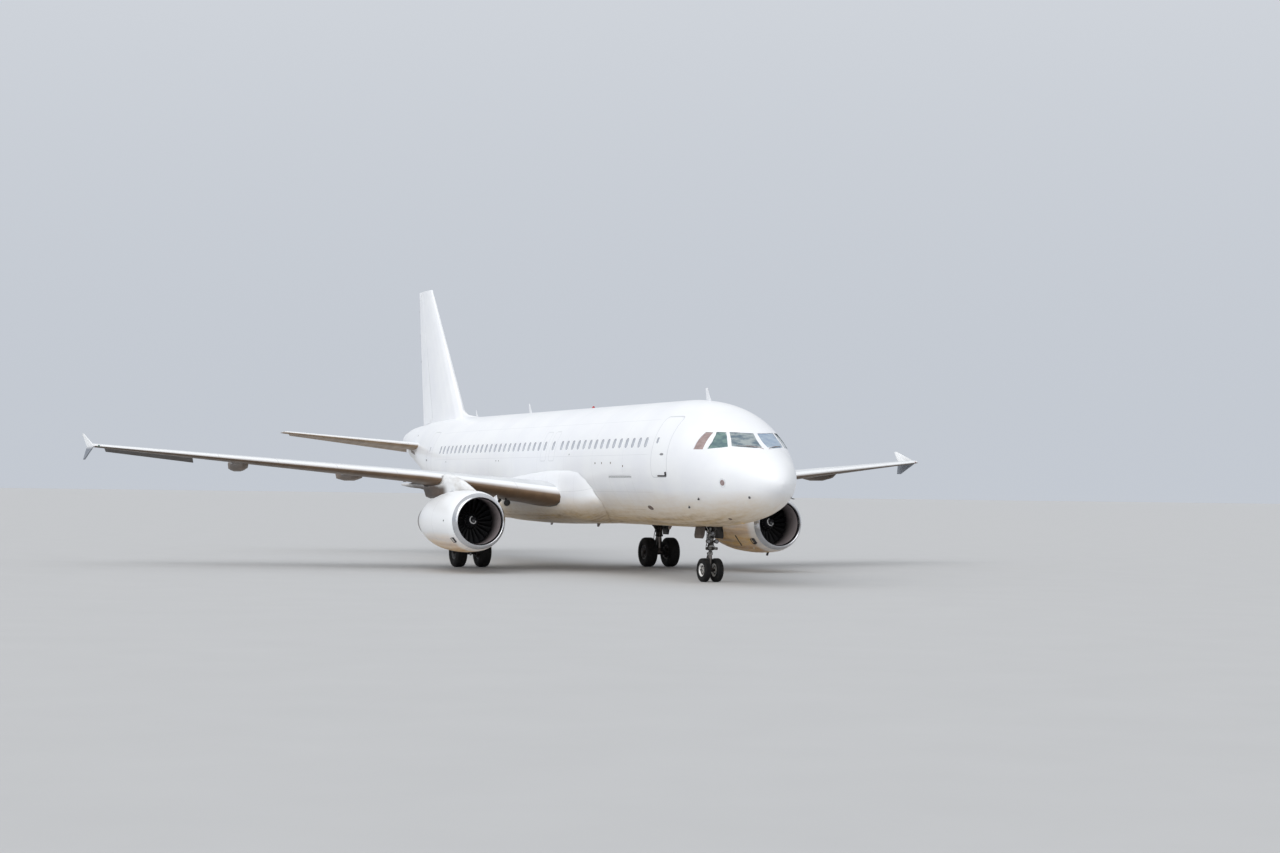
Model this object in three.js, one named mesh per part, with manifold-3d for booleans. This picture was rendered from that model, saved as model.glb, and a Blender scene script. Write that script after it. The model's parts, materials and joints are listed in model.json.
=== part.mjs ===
// Twin-engine airliner parked on its landing gear, at real size in millimetres.
// +Z is up, the nose points to -Y and the left side is +X. The origin lies on the
// ground, midway between the nose tip and the tail cone's end.
// A station is a distance aft of the nose tip, a level a height above the ground.

import * as THREE from 'three';
import { mergeVertices } from 'three/addons/utils/BufferGeometryUtils.js';
import Module from 'manifold-3d';

const wasm = await Module();
wasm.setup();

// Driving dimensions
const LENGTH = 37570;
const CENTRELINE_LEVEL = 3800;
const SEAT_GAP = 0.3;
const RUNNING_GAP = 8;

const FUSELAGE_SIDES = 40;

const WING_ROOT_X = 1300;
const BODY_SIDE_X = 1980;
const KINK_X = 6400;
const WING_TIP_X = 16950;

const ENGINE_X = 5650;
const ENGINE_LEVEL = 1785;
const ENGINE_TILT = 0.9;
const INTAKE_STATION = 11230;

const MAIN_GEAR_X = 3795;
const MAIN_GEAR_STATION = 17710;
const NOSE_GEAR_STATION = 5070;

// Looks
const WHITE_PAINT = { color: 0xdfe0de, roughness: 0.45, metalness: 0.0 };
const GRIMY_PAINT = { color: 0xb9b2a4, roughness: 0.6, metalness: 0.0 };
const GREY_PAINT = { color: 0x8f8d88, roughness: 0.55, metalness: 0.1 };
const BARE_METAL = { color: 0xb8babc, roughness: 0.3, metalness: 1.0 };
const DARK_METAL = { color: 0x2c2b2a, roughness: 0.6, metalness: 0.6 };
const GEAR_PAINT = { color: 0x8a8c8e, roughness: 0.5, metalness: 0.3 };
const BLACK_RUBBER = { color: 0x141414, roughness: 0.85, metalness: 0.0 };
const DARK_GLASS = { color: 0x1f3037, roughness: 0.1, metalness: 0.2 };

const aircraft = new THREE.Group();

// Distance along Y of a station.
function st(station) {
  return station - LENGTH / 2;
}

// A named piece with its own material, added to the aircraft or to one of its groups.
function addPart(parent, name, geometry, look) {
  const mesh = new THREE.Mesh(geometry, new THREE.MeshStandardMaterial(look));
  mesh.name = name;
  parent.add(mesh);
  return mesh;
}

// A geometry's vertices merged to positions alone.
function welded(geometry) {
  const bare = geometry.clone();
  bare.deleteAttribute('normal');
  bare.deleteAttribute('uv');
  return mergeVertices(bare, 0.001);
}

// A closed geometry as a solid for joining and cutting.
function solid(geometry) {
  const bare = welded(geometry);
  return new wasm.Manifold(new wasm.Mesh({
    numProp: 3,
    vertProperties: Float32Array.from(bare.attributes.position.array),
    triVerts: Uint32Array.from(bare.index.array),
  }));
}

// A solid as a geometry again.
function geometryOf(manifold) {
  const mesh = manifold.getMesh();
  const geometry = new THREE.BufferGeometry();
  const positions = Float32Array.from(mesh.vertProperties);
  geometry.setAttribute('position', new THREE.BufferAttribute(positions, 3));
  geometry.setIndex(new THREE.BufferAttribute(Uint32Array.from(mesh.triVerts), 1));
  return geometry;
}

// The volume inside a closed geometry, negative where its faces point in.
function signedVolume(geometry) {
  const p = geometry.attributes.position;
  const index = geometry.index;
  const [a, b, c] = [new THREE.Vector3(), new THREE.Vector3(), new THREE.Vector3()];
  let volume = 0;
  for (let i = 0; i < index.count; i += 3) {
    a.fromBufferAttribute(p, index.getX(i));
    b.fromBufferAttribute(p, index.getX(i + 1));
    c.fromBufferAttribute(p, index.getX(i + 2));
    volume += a.dot(b.cross(c)) / 6;
  }
  return volume;
}

// The same indexed geometry with each face turned round.
function turnedOut(geometry) {
  const faces = Array.from(geometry.index.array);
  for (let i = 0; i < faces.length; i += 3) {
    [faces[i + 1], faces[i + 2]] = [faces[i + 2], faces[i + 1]];
  }
  geometry.setIndex(faces);
  return geometry;
}

// A closed skin over rings of equal length, each a list of [x, y, z], with flat ends.
// A ring of one point closes the skin in a tip. The faces' diagonals on the right side
// are the left side's reflected, so that a symmetric skin stays symmetric.
function loft(rings) {
  const points = [];
  const faces = [];
  const starts = [];
  for (const ring of rings) {
    starts.push(points.length);
    points.push(...ring);
  }
  for (let r = 0; r + 1 < rings.length; r++) {
    const [near, far] = [rings[r], rings[r + 1]];
    const count = Math.max(near.length, far.length);
    for (let i = 0; i < count; i++) {
      const j = (i + 1) % count;
      const [a, b] = near.length > 1 ? [starts[r] + i, starts[r] + j] : [starts[r], starts[r]];
      const [c, d] = far.length > 1
        ? [starts[r + 1] + i, starts[r + 1] + j]
        : [starts[r + 1], starts[r + 1]];
      const onRight = [a, b, c, d].reduce((sum, k) => sum + points[k][0], 0) < -1e-6;
      const [p, q] = onRight ? [d, a] : [c, b];
      if (a !== b) faces.push(a, b, p);
      if (c !== d) faces.push(q, d, c);
    }
  }
  const ends = [[0, 1], [rings.length - 1, -1]];
  for (const [r, turn] of ends) {
    const ring = rings[r];
    if (ring.length === 1) continue;
    const centre = [0, 1, 2].map((k) => ring.reduce((sum, p) => sum + p[k], 0) / ring.length);
    points.push(centre);
    for (let i = 0; i < ring.length; i++) {
      const j = (i + 1) % ring.length;
      const [a, b] = turn > 0 ? [i, j] : [j, i];
      faces.push(starts[r] + b, starts[r] + a, points.length - 1);
    }
  }
  const geometry = new THREE.BufferGeometry();
  geometry.setAttribute('position', new THREE.Float32BufferAttribute(points.flat(), 3));
  geometry.setIndex(faces);
  return signedVolume(geometry) < 0 ? turnedOut(geometry) : geometry;
}

// A geometry reflected to the other side of the aircraft.
function mirrored(geometry) {
  const copy = geometry.clone();
  copy.scale(-1, 1, 1);
  return turnedOut(copy);
}

// The right side's geometry is the left side's, reflected.
function onSide(side, geometry) {
  return side > 0 ? geometry : mirrored(geometry);
}

// A box between two corners.
function box(low, high) {
  const size = [0, 1, 2].map((k) => high[k] - low[k]);
  const geometry = new THREE.BoxGeometry(...size);
  geometry.translate(...[0, 1, 2].map((k) => (high[k] + low[k]) / 2));
  return geometry;
}

// A round bar, or a cone's frustum, from one point to another.
function bar(from, to, radius, sides = 16, farRadius = radius) {
  const [a, b] = [new THREE.Vector3(...from), new THREE.Vector3(...to)];
  const geometry = new THREE.CylinderGeometry(farRadius, radius, a.distanceTo(b), sides);
  const way = b.clone().sub(a).normalize();
  geometry.applyQuaternion(new THREE.Quaternion().setFromUnitVectors(new THREE.Vector3(0, 1, 0), way));
  geometry.translate(...a.add(b).multiplyScalar(0.5).toArray());
  return geometry;
}

// A flat plate: an outline of [y, z] points, of the given thickness about x.
function plate(outline, x, thickness) {
  const shape = new THREE.Shape(outline.map(([y, z]) => new THREE.Vector2(y, z)));
  const geometry = new THREE.ExtrudeGeometry(shape, { depth: thickness, bevelEnabled: false });
  geometry.translate(0, 0, -thickness / 2);
  geometry.applyMatrix4(new THREE.Matrix4().makeBasis(
    new THREE.Vector3(0, 1, 0), new THREE.Vector3(0, 0, 1), new THREE.Vector3(1, 0, 0)));
  geometry.translate(x, 0, 0);
  return geometry;
}

// Joins a list of closed geometries.
function joined(geometries) {
  return geometries.map(solid).reduce((whole, piece) => whole.add(piece));
}

// Fuselage
// Each row: station, half width, level of the top, of the widest line and of the bottom,
// the three levels counted from the centreline.
const FUSELAGE_TABLE = [
  [0, 0, -650, -650, -650],
  [300, 470, -170, -620, -1050],
  [700, 780, 130, -570, -1340],
  [1200, 1060, 430, -480, -1550],
  [1600, 1235, 640, -410, -1660],
  [2000, 1400, 950, -330, -1750],
  [2500, 1560, 1290, -230, -1835],
  [3200, 1730, 1600, -120, -1925],
  [4000, 1860, 1830, -50, -1990],
  [5000, 1945, 1990, 0, -2050],
  [6200, 1975, 2070, 0, -2070],
  [24600, 1975, 2070, 0, -2070],
  [27000, 1925, 2070, 40, -1870],
  [29000, 1770, 2070, 130, -1440],
  [31000, 1510, 2060, 290, -950],
  [33000, 1160, 2010, 520, -440],
  [35000, 820, 1900, 800, 60],
  [36500, 560, 1790, 1000, 450],
  [37570, 360, 1610, 1170, 740],
];

// The fuselage's half width and levels at a station, on a smooth curve through the table.
// The curve runs in the station's square root, which makes the nose tip round.
function fuselageAt(station) {
  const rows = FUSELAGE_TABLE;
  const run = (i) => Math.sqrt(rows[i][0]);
  const place = Math.sqrt(station);
  let i = rows.findIndex((row) => row[0] >= station);
  i = Math.max(i - 1, 0);
  const span = run(i + 1) - run(i);
  const t = (place - run(i)) / span;
  const slope = (k, column) => {
    if (k === 0) return (rows[1][column] - rows[0][column]) / (run(1) - run(0));
    if (k === rows.length - 1) return (rows[k][column] - rows[k - 1][column]) / (run(k) - run(k - 1));
    const before = (rows[k][column] - rows[k - 1][column]) / (run(k) - run(k - 1));
    const after = (rows[k + 1][column] - rows[k][column]) / (run(k + 1) - run(k));
    return before * after <= 0 ? 0 : 2 * before * after / (before + after);
  };
  return [1, 2, 3, 4].map((column) => {
    const [a, b] = [rows[i][column], rows[i + 1][column]];
    const [da, db] = [slope(i, column) * span, slope(i + 1, column) * span];
    return a * (2 * t ** 3 - 3 * t ** 2 + 1) + da * (t ** 3 - 2 * t ** 2 + t)
      + b * (3 * t ** 2 - 2 * t ** 3) + db * (t ** 3 - t ** 2);
  });
}

// The fuselage's outline at a station: two half ellipses that meet at the widest line.
function fuselageRing(station, grow = 0) {
  const [halfWidth, top, level, bottom] = fuselageAt(station);
  const ring = [];
  for (let i = 0; i < FUSELAGE_SIDES; i++) {
    const angle = 2 * Math.PI * i / FUSELAGE_SIDES;
    const height = Math.sin(angle) >= 0 ? top - level : level - bottom;
    ring.push([
      (halfWidth + grow) * Math.cos(angle),
      st(station),
      CENTRELINE_LEVEL + level + (height + grow) * Math.sin(angle),
    ]);
  }
  return ring;
}

// The stretch of the fuselage through a list of stations.
function fuselageStretch(stations, grow = 0) {
  return loft(stations.map((station) => (
    station === 0 ? [[0, st(0), CENTRELINE_LEVEL + FUSELAGE_TABLE[0][2]]] : fuselageRing(station, grow)
  )));
}

const RADOME_STATION = 1000;
const NOSE_JOINT_STATION = 6200;
const REAR_JOINT_STATION = 24600;
const CONE_JOINT_STATION = 35800;
const RADOME_RUN = [0, 30, 120, 300, 500, 750];
const NOSE_RUN = [1200, 1450, 1700, 2000, 2300, 2650, 3200, 4000, 5000];
const REAR_RUN = [25800, 27000, 28400, 29800, 31200, 32600, 34000, 35000];
const CONE_RUN = [36500, 37100];
// The rudder's foot clears the fuselage by this much, all through its swing.
const RUDDER_ROOM = 30;

// Doors are cut from the fuselage's own skin. A door's frame has its first axis aft, its
// second up along the skin and its third straight out, at an angle above the level.
function doorFrame(station, angle) {
  const a = THREE.MathUtils.degToRad(angle);
  return new THREE.Matrix4().makeBasis(
    new THREE.Vector3(0, 1, 0),
    new THREE.Vector3(-Math.sin(a), 0, Math.cos(a)),
    new THREE.Vector3(Math.cos(a), 0, Math.sin(a)),
  ).setPosition(0, st(station), CENTRELINE_LEVEL);
}

// A block with rounded corners that reaches out through the skin of the left side.
function doorBlock(door, grow, topGrow, inner) {
  const [width, low, high, corner] = [door.width / 2 + grow, door.low - grow, door.high + topGrow, door.corner];
  const shape = new THREE.Shape();
  shape.moveTo(-width + corner, low);
  shape.lineTo(width - corner, low);
  shape.absarc(width - corner, low + corner, corner, -Math.PI / 2, 0);
  shape.lineTo(width, high - corner);
  shape.absarc(width - corner, high - corner, corner, 0, Math.PI / 2);
  shape.lineTo(-width + corner, high);
  shape.absarc(-width + corner, high - corner, corner, Math.PI / 2, Math.PI);
  shape.lineTo(-width, low + corner);
  shape.absarc(-width + corner, low + corner, corner, Math.PI, 1.5 * Math.PI);
  const geometry = new THREE.ExtrudeGeometry(shape, {
    depth: DOOR_REACH - inner, bevelEnabled: false, curveSegments: DOOR_CORNER_STEPS,
  });
  geometry.translate(0, 0, inner);
  geometry.applyMatrix4(doorFrame(door.station, door.angle));
  return geometry;
}

const DOOR_REACH = 2400;
const DOOR_CORNER_STEPS = 2;
const PASSENGER_DOOR_GAP = 6;
const CARGO_DOOR_GAP = 8;
const CARGO_DOOR_TOP_GAP = 12;
const CARGO_HINGE_INSET = 10;
const CARGO_PIN_RADIUS = 6;
const CARGO_PIN_REACH = 90;

// Low and high are measured up along the skin from the door's straight-out line.
const PASSENGER_DOORS = {
  front: { station: 4910, width: 1060, low: -850, high: 1080, corner: 170, angle: 14, inner: 1500 },
  rear: { station: 29400, width: 960, low: -850, high: 1060, corner: 170, angle: 14, inner: 1330 },
};
const CARGO_DOORS = {
  forward: { station: 8060, width: 1880, low: -620, high: 620, corner: 110, angle: -30.7, inner: 1800 },
  aft: { station: 23590, width: 1880, low: -620, high: 620, corner: 110, angle: -30.7, inner: 1800 },
};

// The cut that a fixed door leaves, with the door standing on its floor.
function passengerCut(door) {
  return solid(doorBlock(door, PASSENGER_DOOR_GAP, PASSENGER_DOOR_GAP, door.inner - SEAT_GAP));
}

// The skin point on the constant section at a height along a cargo door's frame.
function cargoHinge(door) {
  const a = THREE.MathUtils.degToRad(door.angle);
  const [halfWidth, top] = fuselageAt(NOSE_JOINT_STATION);
  const along = door.high - CARGO_HINGE_INSET;
  const [c, s] = [Math.cos(a), Math.sin(a)];
  const [p, q] = [1 / halfWidth ** 2, 1 / top ** 2];
  const square = p * c * c + q * s * s;
  const cross = along * c * s * (q - p);
  const rest = along * along * (p * s * s + q * c * c) - 1;
  const out = (-cross + Math.sqrt(cross * cross - square * rest)) / square;
  return [along, out - CARGO_HINGE_INSET];
}

// A cargo door, the cut it leaves and the hinge pins that stay with the fuselage.
function cargoPieces(door, skin) {
  const [along, out] = cargoHinge(door);
  const frame = doorFrame(door.station, door.angle);
  const half = door.width / 2;
  const rod = (from, to, radius) => {
    const geometry = bar([from, along, out], [to, along, out], radius, 12);
    geometry.applyMatrix4(frame);
    return solid(geometry);
  };
  const bore = CARGO_PIN_RADIUS + 0.6;
  const block = solid(doorBlock(door, 0, 0, door.inner));
  const cut = solid(doorBlock(door, CARGO_DOOR_GAP, CARGO_DOOR_TOP_GAP, door.inner - CARGO_DOOR_GAP));
  const panel = skin.intersect(block)
    .subtract(rod(-half - 1, -half + CARGO_PIN_REACH + 1, bore))
    .subtract(rod(half - CARGO_PIN_REACH - 1, half + 1, bore));
  const end = half + CARGO_DOOR_GAP + 20;
  const pins = rod(-end, -half + CARGO_PIN_REACH, CARGO_PIN_RADIUS)
    .add(rod(half - CARGO_PIN_REACH, end, CARGO_PIN_RADIUS));
  return { panel, cut, pins };
}

const radome = fuselageStretch([...RADOME_RUN, RADOME_STATION - SEAT_GAP]);
const noseWhole = solid(fuselageStretch([RADOME_STATION, ...NOSE_RUN, NOSE_JOINT_STATION - SEAT_GAP]));
const centreWhole = solid(fuselageStretch([NOSE_JOINT_STATION, REAR_JOINT_STATION - SEAT_GAP]));
const rearWhole = solid(fuselageStretch([REAR_JOINT_STATION, ...REAR_RUN, CONE_JOINT_STATION - SEAT_GAP]));
const coneWhole = solid(fuselageStretch([CONE_JOINT_STATION, ...CONE_RUN, LENGTH]));
const centreTool = solid(fuselageStretch([NOSE_JOINT_STATION, REAR_JOINT_STATION], SEAT_GAP));
const tailStretch = [REAR_JOINT_STATION, ...REAR_RUN, CONE_JOINT_STATION, CONE_RUN[0]];
const rearTool = solid(fuselageStretch(tailStretch, SEAT_GAP));
const rudderRoom = solid(fuselageStretch(tailStretch, RUDDER_ROOM));
const noseStretch = [RADOME_STATION, ...NOSE_RUN, NOSE_JOINT_STATION];
const noseTool = solid(fuselageStretch(noseStretch, SEAT_GAP));

const frontDoorCut = passengerCut(PASSENGER_DOORS.front);
const rearDoorCut = passengerCut(PASSENGER_DOORS.rear);
const frontDoor = geometryOf(noseWhole.intersect(
  solid(doorBlock(PASSENGER_DOORS.front, 0, 0, PASSENGER_DOORS.front.inner))));
const rearDoor = geometryOf(rearWhole.intersect(
  solid(doorBlock(PASSENGER_DOORS.rear, 0, 0, PASSENGER_DOORS.rear.inner))));
const forwardCargo = cargoPieces(CARGO_DOORS.forward, centreWhole);
const aftCargo = cargoPieces(CARGO_DOORS.aft, centreWhole);
const reflected = (manifold) => solid(mirrored(geometryOf(manifold)));

// Cockpit glazing: three panes a side that lie a little inside the skin, joined by a block
// behind them. The front panes' outlines are [x, level], the side pane's [station, level].
const WINDSCREEN = [[62, 4690], [735, 4725], [868, 4282], [285, 4230], [88, 4264]];
const FORWARD_PANE = [[815, 4722], [1025, 4722], [1384, 4204], [966, 4260]];
const SIDE_PANE = [[2605, 4186], [2620, 4720], [2888, 4722], [2972, 4470], [3010, 4188]];
const PANE_INSET = 6;
const FRONT_PANE_RUN = [1000, 2650];
const SIDE_PANE_RUN = [700, 1900];
const GLAZING_BLOCK = { halfWidth: 880, front: 2400, rear: 2950, bottom: 4300, top: 4620 };
// The least distance from a pane's middle to its edge.
const PANE_REACH = 200;

// An outline spread about its middle, so that its edges move out by at least the growth.
function spread(outline, grow) {
  const middle = [0, 1].map((k) => outline.reduce((sum, point) => sum + point[k], 0) / outline.length);
  return outline.map((point) => point.map((value, k) => (
    middle[k] + (value - middle[k]) * (1 + grow / PANE_REACH))));
}

// The panes and the block behind them, reaching out through the skin.
function glazingSolid(grow) {
  const [front, rear] = [st(FRONT_PANE_RUN[0]), st(FRONT_PANE_RUN[1]) + grow];
  const frontPanes = [WINDSCREEN, FORWARD_PANE].map((outline) => {
    const shape = new THREE.Shape(spread(outline, grow).map(([x, z]) => new THREE.Vector2(x, z)));
    const geometry = new THREE.ExtrudeGeometry(shape, { depth: rear - front, bevelEnabled: false });
    geometry.rotateX(Math.PI / 2);
    geometry.translate(0, rear, 0);
    return geometry;
  });
  const [inner, outer] = [SIDE_PANE_RUN[0] - grow, SIDE_PANE_RUN[1]];
  const outline = spread(SIDE_PANE, grow).map(([station, z]) => [st(station), z]);
  const panes = [...frontPanes, plate(outline, (inner + outer) / 2, outer - inner)];
  const block = box(
    [-GLAZING_BLOCK.halfWidth - grow, st(GLAZING_BLOCK.front) - grow, GLAZING_BLOCK.bottom - grow],
    [GLAZING_BLOCK.halfWidth + grow, st(GLAZING_BLOCK.rear) + grow, GLAZING_BLOCK.top + grow]);
  return joined([block, ...panes, ...panes.map((pane) => mirrored(welded(pane)))]);
}

const glazing = glazingSolid(0).intersect(solid(fuselageStretch(noseStretch, -PANE_INSET)));

// The open well that the nose leg stands in.
const NOSE_WELL = { halfWidth: 240, front: 4560, rear: 5560, bottom: 1000, roof: 2350 };
const noseWell = solid(box(
  [-NOSE_WELL.halfWidth, st(NOSE_WELL.front), NOSE_WELL.bottom],
  [NOSE_WELL.halfWidth, st(NOSE_WELL.rear), NOSE_WELL.roof]));

// The small open pipe at the tail cone's end.
const TAIL_PIPE_RADIUS = 150;
const TAIL_PIPE_DEPTH = 500;
const TAIL_PIPE_LEVEL = CENTRELINE_LEVEL + 1190;
const tailPipe = solid(bar(
  [0, st(LENGTH - TAIL_PIPE_DEPTH), TAIL_PIPE_LEVEL], [0, st(LENGTH + 10), TAIL_PIPE_LEVEL],
  TAIL_PIPE_RADIUS, 16));

// A flat round jacking pad under the nose.
const NOSE_PAD = { station: 2740, level: 1900, radius: 60, root: 150 };
const nosePad = solid(bar(
  [0, st(NOSE_PAD.station), NOSE_PAD.level], [0, st(NOSE_PAD.station), NOSE_PAD.level + NOSE_PAD.root],
  NOSE_PAD.radius, 16));

addPart(aircraft, 'radome', radome, WHITE_PAINT);
addPart(aircraft, 'cockpit_glazing', geometryOf(glazing), DARK_GLASS);
addPart(aircraft, 'fuselage_nose', geometryOf(noseWhole
  .subtract(frontDoorCut).subtract(reflected(frontDoorCut))
  .subtract(glazingSolid(SEAT_GAP)).subtract(noseWell).add(nosePad)), WHITE_PAINT);
addPart(aircraft, 'fuselage_centre', geometryOf(centreWhole
  .subtract(reflected(forwardCargo.cut)).add(reflected(forwardCargo.pins))
  .subtract(reflected(aftCargo.cut)).add(reflected(aftCargo.pins))), WHITE_PAINT);
addPart(aircraft, 'fuselage_rear', geometryOf(rearWhole
  .subtract(rearDoorCut).subtract(reflected(rearDoorCut))), WHITE_PAINT);
addPart(aircraft, 'tail_cone', geometryOf(coneWhole.subtract(tailPipe)), WHITE_PAINT);
for (const [side, word] of [[1, 'left'], [-1, 'right']]) {
  addPart(aircraft, `passenger_door_front_${word}`, onSide(side, frontDoor), WHITE_PAINT);
  addPart(aircraft, `passenger_door_rear_${word}`, onSide(side, rearDoor), WHITE_PAINT);
}
addPart(aircraft, 'cargo_door_forward', geometryOf(reflected(forwardCargo.panel)), WHITE_PAINT);
addPart(aircraft, 'cargo_door_aft', geometryOf(reflected(aftCargo.panel)), WHITE_PAINT);

// Lifting surfaces
const CHORD_STEPS = 10;
const EDGE_THICKNESS = 10;

// The half thickness of a section of the given chord and relative thickness.
function halfThickness(fraction, chord, ratio) {
  const f = fraction;
  const shape = 0.2969 * Math.sqrt(f) - 0.126 * f - 0.3516 * f ** 2 + 0.2843 * f ** 3 - 0.1036 * f ** 4;
  return 5 * ratio * chord * shape + EDGE_THICKNESS / 2 * f;
}

// The outline of a lifting section as [distance aft, height] from its leading edge.
function sectionOutline(chord, ratio, camber, grow) {
  const fractions = [];
  for (let i = 0; i <= CHORD_STEPS; i++) {
    fractions.push((1 - Math.cos(Math.PI * i / CHORD_STEPS)) / 2);
  }
  const middle = (f) => camber * chord * 4 * f * (1 - f);
  const along = (f) => f * (chord + 2 * grow) - grow;
  const upper = fractions.map((f) => [along(f), middle(f) + halfThickness(f, chord, ratio) + grow]);
  const lower = fractions.map((f) => [along(f), middle(f) - halfThickness(f, chord, ratio) - grow]);
  if (grow === 0) lower.shift();
  return [...upper, ...lower.reverse()];
}

// A table's row at a place along its first column.
function rowAt(table, place) {
  let i = table.findIndex((row) => row[0] >= place);
  i = Math.max(i - 1, 0);
  const [near, far] = [table[i], table[i + 1]];
  const t = (place - near[0]) / (far[0] - near[0]);
  return near.map((value, k) => value + t * (far[k] - value));
}

// The solids that part a hinged surface from what carries it. The hinge runs from one
// point to another, the radii are the surface's half thickness there, and the swing is
// the largest angle each way in degrees. A pin at each end stays with the fixed part.
const PIN_RADIUS = 16;
const PIN_REACH = 30;
const PIN_ROOT = 40;
const BORE_RADIUS = 16.8;
const HINGE_SIDES = 14;

function hingeTools(from, to, radii, swing, depth, height) {
  const along = new THREE.Vector3(...to).sub(new THREE.Vector3(...from));
  const span = along.length();
  along.normalize();
  const aft = new THREE.Vector3(0, 1, 0);
  aft.addScaledVector(along, -aft.dot(along)).normalize();
  const up = new THREE.Vector3().crossVectors(along, aft);
  const frame = new THREE.Matrix4().makeBasis(along, aft, up).setPosition(...from);
  const placed = (geometry) => {
    geometry.applyMatrix4(frame);
    return solid(geometry);
  };
  const rod = (x0, x1, radius, sides, farRadius) => placed(
    bar([x0, 0, 0], [x1, 0, 0], radius, sides, farRadius));
  const g = RUNNING_GAP;
  const lip = Math.max(...radii) * Math.sin(THREE.MathUtils.degToRad(swing)) + g;
  return {
    moving: placed(box([0, 0, -height], [span, depth, height]))
      .add(rod(0, span, radii[0], HINGE_SIDES, radii[1]))
      .subtract(rod(-1, PIN_REACH + 1, BORE_RADIUS, 12))
      .subtract(rod(span - PIN_REACH - 1, span + 1, BORE_RADIUS, 12)),
    cut: placed(box([-g, -lip, -height], [span + g, depth, height]))
      .add(rod(-g, span + g, radii[0] + g, HINGE_SIDES, radii[1] + g)),
    pins: rod(-g - PIN_ROOT, PIN_REACH, PIN_RADIUS, 12)
      .add(rod(span - PIN_REACH, span + g + PIN_ROOT, PIN_RADIUS, 12)),
    axis: along,
  };
}

// Wing
// Each row: x, leading edge station, chord, leading edge level, relative thickness,
// camber, and the angle in degrees by which the section noses up.
const WING_TABLE = [
  [WING_ROOT_X, 12576, 6504, 2530, 0.15, 0.03, 1.5],
  [BODY_SIDE_X, 12930, 6150, 2625, 0.15, 0.03, 1.5],
  [KINK_X, 15230, 3850, 3270, 0.12, 0.018, 1.0],
  [WING_TIP_X, 20720, 1500, 4225, 0.088, 0.014, -0.5],
];
const WING_RUN = WING_TABLE.map((row) => row[0]);

// A section point of the wing, from its distance aft of and height over the leading edge.
function wingPlace(x, aft, up) {
  const [, station, , level, , , angle] = rowAt(WING_TABLE, x);
  const turn = THREE.MathUtils.degToRad(angle);
  return [
    x,
    st(station) + aft * Math.cos(turn) + up * Math.sin(turn),
    level - aft * Math.sin(turn) + up * Math.cos(turn),
  ];
}

// The point inside the wing halfway between its skins, and the half thickness there.
function wingPoint(x, fraction) {
  const [, , chord, , ratio, camber] = rowAt(WING_TABLE, x);
  return {
    point: wingPlace(x, fraction * chord, camber * chord * 4 * fraction * (1 - fraction)),
    half: halfThickness(fraction, chord, ratio),
  };
}

// The wing's outline at a distance from the aircraft's middle.
function wingRing(x, grow) {
  const [, , chord, , ratio, camber] = rowAt(WING_TABLE, x);
  return sectionOutline(chord, ratio, camber, grow).map(([aft, up]) => wingPlace(x, aft, up));
}

const AILERON_SPAN = [13490, 16450];
const AILERON_HINGE_FRACTION = 0.745;
const AILERON_DROOP = 21;
const AILERON_SWING = 25;
const AILERON_DEPTH = 1200;
const aileronHinge = AILERON_SPAN.map((x) => wingPoint(x, AILERON_HINGE_FRACTION));
const aileronTools = hingeTools(
  aileronHinge[0].point, aileronHinge[1].point,
  aileronHinge.map((place) => place.half), AILERON_SWING, AILERON_DEPTH, 400);

// A geometry turned about a hinge's line, with a positive angle moving its rear up.
function turnedAbout(geometry, point, axis, degrees) {
  geometry.translate(...point.map((value) => -value));
  geometry.applyQuaternion(new THREE.Quaternion().setFromAxisAngle(
    axis, THREE.MathUtils.degToRad(degrees)));
  geometry.translate(...point);
  return geometry;
}

// The flap's outline in plan, as [x, station, shift of x, shift of station] with the
// shifts telling how the outline grows into the cut that the flap leaves.
const FLAP_PLAN = [
  [2080, 17930, -1, -1], [KINK_X, 18160, 0, -1], [13370, 20695, 1, -1],
  [12730, 22500, 1, 0], [2080, 22500, -1, 0],
];

// A vertical prism over the flap's outline.
function flapPrism(grow) {
  const shape = new THREE.Shape(FLAP_PLAN.map(([x, station, dx, dy]) => (
    new THREE.Vector2(x + dx * grow, st(station + dy * grow)))));
  return solid(new THREE.ExtrudeGeometry(shape, { depth: 6000, bevelEnabled: false }));
}

// Wingtip fence: a thin arrowhead whose arms lean out.
// Each row: level, front and rear stations, x of its middle plane.
const FENCE_TABLE = [
  [3740, 22300, 22560, 17040],
  [4220, 20880, 22330, 16945],
  [4690, 22620, 22830, 17050],
];
const FENCE_THICKNESS = 40;

// Flap track fairings under the wing, with how far each is stretched ahead of and behind
// the flap's front line, and in depth.
const FAIRINGS = [
  { x: 8050, ahead: 1.2, behind: 1.35, depth: 1.07 },
  { x: 11900, ahead: 1.2, behind: 1, depth: 1.35 },
];
const FAIRING_FRACTION = 0.76;
// Each row: distance aft of the flap's front line, half width, and the low and high
// level of the fairing's section from the wing's middle.
const FAIRING_TABLE = [
  [-1300, 14, -90, -40],
  [-900, 110, -230, 40],
  [-300, 150, -300, 60],
  [700, 150, -300, 60],
  [1300, 110, -250, 50],
  [1600, 14, -90, 20],
];

// A ring of eight points about a rectangle's middle, for pods and pylons.
function octagon(x, station, halfWidth, low, high) {
  const [middle, half] = [(low + high) / 2, (high - low) / 2];
  const turns = [0, 1, 2, 3, 4, 5, 6, 7].map((k) => Math.PI / 4 * k);
  return turns.map((turn) => [
    x + halfWidth * Math.sign(Math.round(Math.cos(turn) * 1e3)) * Math.abs(Math.cos(turn)) ** 0.6,
    st(station),
    middle + half * Math.sign(Math.round(Math.sin(turn) * 1e3)) * Math.abs(Math.sin(turn)) ** 0.6,
  ]);
}

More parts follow.
